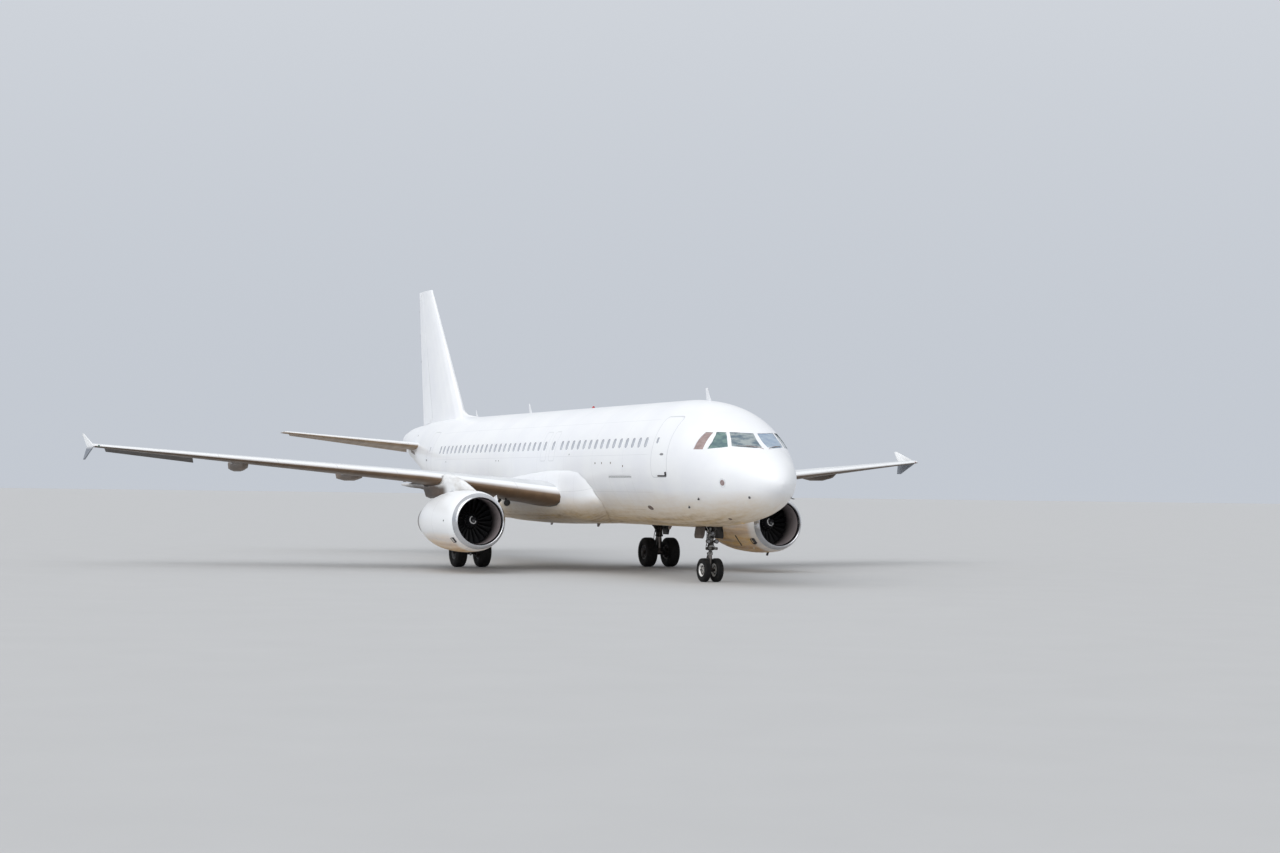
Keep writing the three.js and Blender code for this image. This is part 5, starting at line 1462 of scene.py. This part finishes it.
def two_sided_door(name, *skin_and_shade_colours):
    """A gear door: painted outside, dark primer and dirt on the side that faces the leg, and both sides
    darkened with painted shade.
    """
    material, tree, shader, place = new_material(name, Roughness=0.6)
    parts = split(tree, place)
    normal = surface_normal(tree)
    outwards = times(tree, calc(tree, "SIGN", parts["X"]), normal["X"])
    grime = noise(tree, place, 4.0, detail=6, stretch=(1, 0.4, 1))
    skin = mottle(tree, grime, 0.3, 0.65, *skin_and_shade_colours)
    primer = mottle(tree, grime, 0.3, 0.65, srgb(52, 43, 36), srgb(28, 22, 18))
    wire(tree, shader, Base_Color=mottle(tree, outwards, 0.1, 0.5, primer, skin),
         Roughness=ramp(tree, grime, 0.3, 0.7, 0.5, 0.8))
    return material


# The outside colours are far darker than white paint: painted shade under the body and the wings, with
# dirt.
nose_door_paint = two_sided_door("nose_door_paint", srgb(74, 62, 52), srgb(40, 32, 26))
for side in ("left", "right"):
    dressed(f"nose_gear_door_{side}", "gear_door_skin", nose_door_paint, angle=30)

# Main gear
# Two forged legs with shock struts, brakes in the wheels, stays and pipes, each with a door fixed along its
# outer side. Everything is dark.
MAIN_LEG_X = 3.795
MAIN_CLAMP_LEVELS = (1.19, 1.75, 2.2)
WHEEL_SPREAD = 0.26
BRAKE_BACK = 0.06
MAIN_PISTON = [(0.0855, 0.72), (0.089, 0.72), (0.089, 1.14), (0.0855, 1.14)]
MAIN_CLAMP = [
    (0.124, -0.035), (0.142, -0.035), (0.148, -0.02), (0.148, 0.02), (0.142, 0.035), (0.124, 0.035)]
BRAKE = [
    (0.071, 0.0), (0.19, 0.0), (0.2, 0.012), (0.2, 0.045), (0.185, 0.05), (0.185, 0.07),
    (0.2, 0.075), (0.2, 0.11), (0.19, 0.12), (0.071, 0.12), (0.071, 0.0)]
# Each pipe's points: the first outboard of the leg's middle, then behind it, then the level.
BRAKE_HOSE = [(0.1, 0.1, 1.5), (0.16, 0.16, 1.2), (0.17, 0.16, 0.85), (0.2, 0.12, 0.66)]
LOCK_STAY = [(-0.06, 0.1, 1.36), (-0.24, 0.1, 1.68), (-0.46, 0.08, 2.1)]
LEG_PIPE = [(-0.13, 0.06, 2.5), (-0.14, 0.07, 2.1), (-0.14, 0.07, 1.6), (-0.11, 0.1, 1.3)]
LEG_LINES = (
    (LOCK_STAY, 0.045, "lock_stay", dark_gear_paint), (LEG_PIPE, 0.015, "main_leg_pipe", pipe_rubber))
main_door_paint = two_sided_door("main_door_paint", srgb(124, 112, 100), srgb(64, 54, 46))
leg_y, leg_axle = MAIN_AXLE
for word, side in SIDES:
    dressed(f"main_gear_leg_{word}", "gear_steel", dark_gear_paint, angle=35)
    dressed(f"main_leg_door_{word}", "gear_door_skin", main_door_paint, angle=30)
    leg_x = side * MAIN_LEG_X
    ring_on(MAIN_PISTON, (leg_x, leg_y, 0), f"main_piston_{word}", worn_chrome)
    for number, level in enumerate(MAIN_CLAMP_LEVELS):
        ring_on(MAIN_CLAMP, (leg_x, leg_y, level), f"main_leg_clamp_{word}_{number}", dark_gear_paint)
    for place, inner in (("outer", side), ("inner", -side)):
        ring_on(BRAKE, (leg_x + inner * WHEEL_SPREAD - BRAKE_BACK, leg_y, leg_axle),
                f"brake_{place}_{word}", dark_gear_paint, axis="X")
        pipe([(leg_x + inner * x, leg_y + y, z) for x, y, z in BRAKE_HOSE],
             0.013, f"brake_hose_{place}_{word}", pipe_rubber)
    for points, radius, name, material in LEG_LINES:
        pipe([(leg_x + side * x, leg_y + y, z) for x, y, z in points], radius, f"{name}_{word}", material)

# Antennas, probes and vents
# Small parts that are screwed to the skin: swept antennas above and below, air data probes
# and their plates round the nose, vents, ports, a beacon and scuff strips.
def fitting_material(name, light, dark, roughness=0.45, metallic=0.0):
    """Paint, metal or glass of a small part, a little worn."""
    material, tree, shader, place = new_material(name, Metallic=metallic, Coat_Weight=0.2)
    wear = noise(tree, place, 18.0, detail=5)
    wire(tree, shader, Base_Color=mottle(tree, wear, 0.35, 0.7, light, dark),
         Roughness=ramp(tree, wear, 0.3, 0.7, roughness * 0.8, min(1.0, roughness * 1.3)))
    return material


antenna_paint = fitting_material("antenna_paint", srgb(236, 237, 239), srgb(214, 216, 220))
dark_fitting = fitting_material("dark_fitting", srgb(46, 43, 42), srgb(26, 24, 24))
grey_fitting = fitting_material("grey_fitting", srgb(150, 150, 152), srgb(112, 110, 110), metallic=0.4)
plate_metal = fitting_material("plate_metal", srgb(168, 148, 146), srgb(132, 114, 112), metallic=0.2)
brown_fitting = fitting_material("brown_fitting", srgb(120, 100, 84), srgb(70, 56, 46))
beacon_glass = fitting_material("beacon_glass", srgb(196, 30, 34), srgb(120, 12, 18), 0.15)
green_glass = fitting_material("green_glass", srgb(70, 104, 92), srgb(44, 72, 62), 0.12)
clear_glass = fitting_material("clear_glass", srgb(222, 228, 232), srgb(180, 190, 198), 0.1)

# Each row: name, station, side of the fuselage (1 above, -1 below), height, chord, sweep.
ANTENNAS = [
    ("antenna_top_front", 5.3, 1, 0.42, 0.34, 0.2), ("antenna_top_middle", 21.75, 1, 0.38, 0.26, 0.16),
    ("antenna_top_rear", 28.2, 1, 0.3, 0.22, 0.12), ("antenna_low_front", 8.2, -1, 0.12, 0.3, 0.1),
    ("antenna_low_middle", 14.5, -1, 0.12, 0.34, 0.1), ("antenna_low_rear", 19.2, -1, 0.12, 0.34, 0.1),
]
ANTENNA_THICKNESS, ANTENNA_ROOT = 0.028, 0.04
for name, station, way, height, chord, sweep in ANTENNAS:
    _, top, _, bottom = hull_row(station)
    root = CENTRE_LEVEL + (top if way > 0 else bottom)
    if way < 0 and BELLY[0][0] < station < BELLY[-1][0]:
        root = belly_row(station)[2]
    middle = (0, along(station), root + way * (height / 2 - ANTENNA_ROOT / 2))
    blade = block_of((ANTENNA_THICKNESS, chord, height + ANTENNA_ROOT), middle)
    pick_faces(blade, lambda face: face.normal.z * way > 0.9)
    tip = (0, along(station), root + way * height)
    edit(lambda: bpy.ops.transform.resize(value=(0.45, 0.5, 1), center_override=tip),
         lambda: bpy.ops.transform.translate(value=(0, sweep, 0)))
    broken_edges(0.009)
    paint = antenna_paint if way > 0 else brown_fitting
    finish_piece(blade, name, "airframe", "white_skin", paint, angle=40)


def skin_disc(rows, station, level, side, name, material, steps=36, stretch=(1, 1)):
    """A turned piece that sits on the skin with its axis straight out."""
    place = skin_place(station, level, side) @ Matrix.Diagonal((*stretch, 1, 1))
    finish_piece(placed(spun(rows, steps, "Z"), place), name, "airframe", "gear_steel", material, angle=35)


BEACON = [
    (0, -0.02), (0.07, -0.02), (0.07, 0.01), (0.055, 0.015), (0.05, 0.035), (0.041, 0.055),
    (0.024, 0.07), (0, 0.075)]
BEACON_STATION = 15.2
beacon = placed(spun(BEACON, 32, "Z"), Matrix.Translation(
    (0, along(BEACON_STATION), CENTRE_LEVEL + hull_row(BEACON_STATION)[1])))
finish_piece(beacon, "beacon_top", "airframe", "gear_steel", beacon_glass, angle=40)

# Plates and probes round the nose, the same on both sides.
PLATE = [
    (0, 0.006), (0.07, 0.006), (0.074, 0.01), (0.088, 0.01), (0.092, 0.002), (0.094, -0.01), (0, -0.01)]
PLATE_RIM = [(0, 0.003), (0.14, 0.003), (0.144, 0.0), (0.146, -0.01), (0, -0.01)]
PLATE_PLACE = (1.656, 3.165)
PROBE_HEIGHT = 0.055
PROBE_FOOT = [(0, 0.006), (0.04, 0.006), (0.045, -0.006), (0, -0.006)]
PROBE_PLACES = ((2.999, 2.665), (3.831, 2.411), (0.859, 2.734))
VALVE = [(0, 0.003), (0.08, 0.003), (0.09, 0.012), (0.115, 0.012), (0.12, -0.01), (0, -0.01)]
VALVE_PLACE = (6.668, 2.342)
VENT = [(0, 0.004), (0.02, 0.006), (0.035, 0.003), (0.036, -0.006), (0, -0.006)]
VENT_PLACES = ((7.73, 3.69), (8.77, 3.8), (9.55, 3.8), (10.13, 3.8))
PORT = [(0, 0.004), (0.02, 0.006), (0.03, 0.003), (0.031, -0.006), (0, -0.006)]
PORT_PLACES = ((12.6, 4.12), (19.9, 3.95), (20.2, 3.95), (26.4, 3.95))
for word, side in SIDES:
    skin_disc(PLATE, *PLATE_PLACE, side, f"static_plate_{word}", plate_metal)
    skin_disc(PLATE_RIM, *PLATE_PLACE, side, f"static_plate_rim_{word}", antenna_paint)
    for number, (station, level) in enumerate(PROBE_PLACES):
        foot = hull_point(station, level, side)
        out = hull_normal(foot)
        reach = foot + out * PROBE_HEIGHT
        points = [foot - out * 0.01, foot + out * 0.03, reach]
        points += [reach + Vector((0, -0.03, 0)), reach + Vector((0, -0.1, 0))]
        pipe(points, 0.014, f"air_data_probe_{word}_{number}", dark_fitting)
        skin_disc(PROBE_FOOT, station, level, side, f"probe_foot_{word}_{number}", grey_fitting, steps=24)
    # The outlet valve's oval frame.
    skin_disc(VALVE, *VALVE_PLACE, side, f"outlet_valve_{word}", brown_fitting, stretch=(1.5, 0.8))
    # The foremost vent is on the right side only.
    for number, (station, level) in enumerate(VENT_PLACES):
        if side < 0 or number > 0:
            skin_disc(VENT, station, level, side, f"skin_vent_{word}_{number}", brown_fitting, steps=20)
    for number, (station, level) in enumerate(PORT_PLACES):
        skin_disc(PORT, station, level, side, f"skin_port_{word}_{number}", grey_fitting, steps=20)


STRIP_PROUD, STRIP_THICKNESS = 0.004, 0.01


def ribbon(side, points, width, name, material, slot="gear_steel"):
    """A flat strip that lies on the skin along a line of (station, level) points."""
    strip = traced([
        hull_point(station, level - width / 2, side, -STRIP_PROUD) for station, level in points])
    edit(all_of_it,
         lambda: bpy.ops.mesh.extrude_edges_move(TRANSFORM_OT_translate={"value": (0, 0, width)}))
    for vertex in strip.data.vertices:
        vertex.co = hull_point(vertex.co.y + LENGTH / 2, vertex.co.z, side, STRIP_PROUD)
    thickened(strip, STRIP_THICKNESS, 0)
    edit(all_of_it, facing_out)
    finish_piece(strip, name, "airframe", slot, material, angle=40)


# The dark strip under the front right door's sill, and its upturned end.
ribbon(-1, [(station, 3.365) for station in (5.02, 4.84, 4.66, 4.45)], 0.045,
       "door_sill_strip", dark_fitting)
ribbon(-1, [(4.53, 3.43), (4.48, 3.435), (4.42, 3.44)], 0.11, "door_sill_end", dark_fitting)
# The cover over the forward hold door's hinge.
ribbon(-1, [(station, 3.335) for station in (9.0, 8.36, 7.72, 7.1)], 0.025,
       "hold_door_hinge_cover", grey_fitting, slot="white_skin")

# Engine fittings
# Vents, latches and drain masts in the cowls, and the strakes that steer air over the wings.
# They are pressed or cast, and screwed or riveted on.
def cowl_point(side, clock, aft, proud=0.0):
    """The point of a cowl at a clock angle from its top, towards the tip, and its direction out."""
    radius = next(
        near[0] + (aft - near[1]) / (far[1] - near[1]) * (far[0] - near[0])
        for near, far in zip(COWL_OUTSIDE, COWL_OUTSIDE[1:]) if aft <= far[1])
    turn = math.radians(clock)
    out = Vector((side * math.sin(turn), 0, math.cos(turn)))
    flat = in_engine(side)
    return flat @ (Vector((0, aft, 0)) + out * (radius + proud)), (flat.to_3x3() @ out).normalized()


COWL_PANEL_THICKNESS = 0.012


def cowl_panel(name, side, clock, aft, size, material, turn=0.0):
    """A small flat part on the cowl: round-cornered, with its length along the airflow."""
    point, out = cowl_point(side, clock, aft, -0.002)
    panel = block_of((size[1], size[0], COWL_PANEL_THICKNESS))
    broken_edges(min(size) * 0.18)
    lengthwise = Vector((0, 1, 0))
    lengthwise = (lengthwise - out * out.dot(lengthwise)).normalized()
    across = lengthwise.cross(out)
    frame_of = Matrix((across, lengthwise, out)).transposed().to_4x4()
    placed(panel, Matrix.Translation(point) @ frame_of @ Matrix.Rotation(math.radians(turn), 4, "Z"))
    finish_piece(panel, name, "airframe", "cowl_skin", material, angle=40)


def clock_of(side, x, z, aft):
    """The clock angle of a place on a cowl."""
    middle = ENGINE_LEVEL - math.tan(math.radians(ENGINE_TILT)) * aft
    return math.degrees(math.atan2(side * (x - side * ENGINE_X), z - middle))


pale_fitting = fitting_material("pale_fitting", srgb(236, 226, 204), srgb(206, 194, 166))
# The port, the vents and the slot are flat dark panels; their dark is painted shade that stands for the
# openings.
# Each row: kind, side, then X, Z and the distance aft, the size, the material and the turn.
COWL_MARKS = [
    ("cowl_port", -1, -6.687, 1.79, 0.84, (0.07, 0.06), dark_fitting, 0),
    ("cowl_vent", -1, -6.443, 1.141, 0.476, (0.24, 0.2), dark_fitting, 0),
    ("cowl_latch", -1, -6.198, 0.858, 1.52, (0.16, 0.05), pale_fitting, 20),
    ("cowl_vent", 1, 4.851, 1.141, 0.515, (0.26, 0.24), dark_fitting, 0),
    ("cowl_slot", 1, 4.82, 1.15, 1.63, (0.07, 0.46), dark_fitting, 0),
    ("cowl_latch", 1, 5.1, 0.86, 1.0, (0.2, 0.06), pale_fitting, 25),
]
for kind, side, x, z, aft, size, material, turn in COWL_MARKS:
    word = "left" if side > 0 else "right"
    cowl_panel(f"{kind}_{word}", side, clock_of(side, x, z, aft), aft, size, material, turn=turn)
CATCHES = (1.0, 1.45, 1.9, 2.35)
MAST_SIZE, MAST_SWEEP = (0.03, 0.14, 0.14), 0.08
for word, side in SIDES:
    for number, aft in enumerate(CATCHES):
        cowl_panel(f"cowl_catch_{word}_{number}", side, 180, aft, (0.14, 0.05), grey_fitting)
    # The drain mast below, a small swept blade.
    point, _ = cowl_point(side, 180, 0.95)
    mast = block_of(MAST_SIZE, point + Vector((0, 0, -0.05)))
    pick_faces(mast, lambda face: face.normal.z < -0.9)
    edit(lambda: bpy.ops.transform.translate(value=(0, MAST_SWEEP, 0)))
    broken_edges(0.008)
    finish_piece(mast, f"drain_mast_{word}", "airframe", "cowl_skin", dark_fitting, angle=40)

# A strake: its clock angle, where its root starts and ends, its thickness and its height.
STRAKE_CLOCK, STRAKE_FRONT, STRAKE_REAR = -52, 0.55, 1.7
STRAKE_THICKNESS, STRAKE_HEIGHT = 0.022, 0.42
for word, side in SIDES:
    front, out = cowl_point(side, STRAKE_CLOCK, STRAKE_FRONT, -0.01)
    rear, _ = cowl_point(side, STRAKE_CLOCK, STRAKE_REAR, -0.01)
    long = (rear - front).length
    plate = block_of((STRAKE_THICKNESS, long, STRAKE_HEIGHT), (0, long / 2, STRAKE_HEIGHT / 2))
    for vertex in plate.data.vertices:
        if vertex.co.y < 0.1 and vertex.co.z > 0.1:
            vertex.co.z, vertex.co.y = 0.04, 0.06
    broken_edges(0.007)
    back = (rear - front).normalized()
    across = back.cross(out).normalized()
    turned = Matrix((across, back, across.cross(back))).transposed().to_4x4()
    placed(plate, Matrix.Translation(front) @ turned)
    finish_piece(plate, f"strake_{word}", "airframe", "cowl_skin", antenna_paint, angle=30)

# Lights, wicks and wipers
# Navigation lights under glass at the wing's tips and the tail, thin rods that lead static
# charge off the trailing edges, and the windscreen's metal wipers, all screwed on.
red_glass = fitting_material("red_glass", srgb(126, 62, 60), srgb(88, 40, 40), 0.12)


def crossed(piece, axis, value):
    """The rearmost point of a piece where it is cut across at a value along one axis."""
    best = None
    for edge in piece.data.edges:
        one, two = (piece.data.vertices[corner].co for corner in edge.vertices)
        if (one[axis] - value) * (two[axis] - value) < 0:
            point = one.lerp(two, (value - one[axis]) / (two[axis] - one[axis]))
            if best is None or point.y > best.y:
                best = point
    return best


WICK = [
    (0, -0.03), (0.008, -0.03), (0.009, 0.0), (0.009, 0.045), (0.0045, 0.052), (0.0035, 0.15),
    (0, 0.155)]
# Each row: the piece they trail from, the axis along which they are spaced, and their places.
WICK_PLACES = [
    ("aileron_left", 0, (13.8, 14.6, 15.4, 16.1)), ("aileron_right", 0, (-13.8, -14.6, -15.4, -16.1)),
    ("elevator_left", 0, (3.6, 4.4, 5.2, 5.7)), ("elevator_right", 0, (-3.6, -4.4, -5.2, -5.7)),
    ("rudder", 2, (8.6, 9.8, 10.9)),
]
for part, axis, values in WICK_PLACES:
    edge_of = bpy.data.objects[f"{part}_skin"]
    wicks = copies_joined(spun(WICK, 10, "Y"), [
        Matrix.Translation(crossed(edge_of, axis, value)) for value in values])
    finish_piece(wicks, f"static_wicks_{part}", part, "gear_steel", dark_fitting, angle=40)

LENS = [(0, -0.055), (0.016, -0.05), (0.03, -0.035), (0.037, -0.01), (0.038, 0.03), (0.03, 0.07), (0, 0.09)]
TIP_LIGHT = (16.8, 1.9, 4.222)
for (word, side), glass in zip(SIDES, (red_glass, green_glass)):
    place = Matrix.Translation((side * TIP_LIGHT[0], *TIP_LIGHT[1:]))
    lens = placed(spun(LENS, 24, "Y"), place)
    finish_piece(lens, f"navigation_light_{word}", "airframe", "cockpit_glass", glass, angle=60)
TAIL_LENS = [(0, 0), (0.05, 0), (0.048, 0.02), (0.03, 0.036), (0, 0.042)]
TAIL_LIGHT_STATION, TAIL_LIGHT_SINK = 37.2, 0.004
tail_light_level = CENTRE_LEVEL + hull_row(TAIL_LIGHT_STATION)[1] - TAIL_LIGHT_SINK
tail_lens = placed(spun(TAIL_LENS, 24, "Z"), Matrix.Translation(
    (0, along(TAIL_LIGHT_STATION), tail_light_level)))
finish_piece(tail_lens, "navigation_light_tail", "airframe", "cockpit_glass", clear_glass, angle=60)


def ahead_on(x, level):
    """The point of the nose or its glass that lies straight behind a place ahead of it."""
    hits = []
    for name in ("cockpit_glazing_skin", "fuselage_nose_skin", "radome_skin"):
        hit, point, normal, _ = bpy.data.objects[name].ray_cast(
            Vector((x, -30, level)), Vector((0, 1, 0)))
        if hit:
            hits.append((point.y, point, normal))
    return min(hits, key=lambda found: found[0])[1:]


# Each piece of a wiper: its points from the middle outwards, as X, level and how proud.
WIPER = (
    ("arm", ((0.09, 4.205, 0.0), (0.1, 4.225, 0.03), (0.3, 4.262, 0.032), (0.52, 4.285, 0.03)),
     0.008, plate_metal),
    ("blade", ((0.28, 4.25, 0.016), (0.45, 4.272, 0.016), (0.62, 4.29, 0.016), (0.74, 4.3, 0.016)),
     0.011, grey_fitting),
)
bpy.context.view_layer.update()
for word, side in SIDES:
    for kind, rows, radius, material in WIPER:
        points = []
        for x, level, proud in rows:
            point, normal = ahead_on(side * x, level)
            points.append(point + normal * proud)
        pipe(points, radius, f"wiper_{kind}_{word}", material)

# Door handles
# A lever in a shallow cup under each passenger door's window, cast and set into the skin.
HANDLE_PLACES = (("front", 4.72, 4.05), ("rear", 29.85, 4.05))
HANDLE = [(0, 0.003), (0.03, 0.003), (0.034, 0.007), (0.05, 0.007), (0.054, -0.006), (0, -0.006)]
for word, side in SIDES:
    for kind, station, level in HANDLE_PLACES:
        skin_disc(HANDLE, station, level, side, f"door_handle_{kind}_{word}", grey_fitting,
                  steps=24, stretch=(2.2, 0.7))

# Landing lamps
# A lamp in a cast housing that folds down from each wing's root on a short arm, and a
# stamped drain under the nose.
LAMP = [
    (0, 0.1), (0.07, 0.085), (0.11, 0.02), (0.118, -0.03), (0.108, -0.036), (0.102, -0.02),
    (0.06, -0.034), (0, -0.04)]
LAMP_SPAN, LAMP_STATION = 3.5, 14.7
LAMP_DROP, LAMP_TILT = (0, 0.06, 0.16), 20
LAMP_ARM = ((0, 0.06, 0.02), (0, 0.05, -0.06), (0, 0.02, -0.13))
NOSE_DRAIN = [(0, 0.03), (0.03, 0.028), (0.045, 0.012), (0.06, 0.006), (0.062, -0.01), (0, -0.01)]
for word, side in SIDES:
    under = bpy.data.objects[f"wing_{word}_skin"].ray_cast(
        Vector((side * LAMP_SPAN, along(LAMP_STATION), 1.5)), Vector((0, 0, 1)))[1]
    lamp = placed(spun(LAMP, 40, "Y"), Matrix.Translation(under - Vector(LAMP_DROP))
                  @ Matrix.Rotation(math.radians(LAMP_TILT), 4, "X"))
    finish_piece(lamp, f"landing_lamp_{word}", "airframe", "dark_metal", dark_fitting, angle=35)
    pipe([under + Vector(step) for step in LAMP_ARM], 0.03, f"landing_lamp_arm_{word}", dark_fitting)
skin_disc(NOSE_DRAIN, 2.521, 2.058, -1, "nose_drain", brown_fitting, steps=24, stretch=(1.3, 0.8))

# Tail seams and scuff plates
# An upright grey strip is riveted to each side of the body by the tailplane's root, and a brown plate lines
# the skin below it.
for word, side in SIDES:
    ribbon(side, [(33.63, 5.0), (33.6, 4.999), (33.57, 4.998)], 0.42, f"tail_seam_{word}", grey_fitting)
    ribbon(side, [(34.5, 4.5), (34.1, 4.46), (33.75, 4.42), (33.45, 4.38)], 0.1,
           f"tailplane_scuff_plate_{word}", brown_fitting)

# Floor, sky and light
# A plain pale floor under a soft, overcast sky, with two broad lights.
FLOOR_REACH = 900
SKY_STRENGTH = 0.9
bpy.ops.mesh.primitive_plane_add(size=2 * FLOOR_REACH)
floor = bpy.context.object
floor.name = "floor"
floor_material, floor_tree, floor_shader, floor_place = new_material("pale_floor", Roughness=0.9)
wire(floor_tree, floor_shader, Base_Color=mix(
    floor_tree, noise(floor_tree, floor_place, 0.5), srgb(190, 190, 190), srgb(184, 184, 184)))
floor.data.materials.append(floor_material)

world = bpy.data.worlds.new("overcast")
bpy.context.scene.world = world
world.use_nodes = True
sky = world.node_tree
rise = split(sky, put(sky, "TexCoord").outputs["Generated"])["Z"]
cloud_colour = mix(sky, ramp(sky, rise, 0.0, 0.6), srgb(205, 211, 220), srgb(240, 243, 247))
background = sky.nodes["Background"]
sky.links.new(cloud_colour, background.inputs["Color"])
background.inputs["Strength"].default_value = SKY_STRENGTH
# Two broad lights: from high ahead of the right wing, and low from beside the camera. Each
# row: the turns that aim it, how strong it is and how wide it looks in degrees.
LIGHTS = (((38, -14, -40), 1.0, 60), ((78, 0, -48), 0.9, 80))
for turns, energy, spread in LIGHTS:
    bpy.ops.object.light_add(type="SUN", rotation=[math.radians(turn) for turn in turns])
    bpy.context.object.data.energy = energy
    bpy.context.object.data.angle = math.radians(spread)
bpy.context.scene.view_settings.view_transform = "Standard"
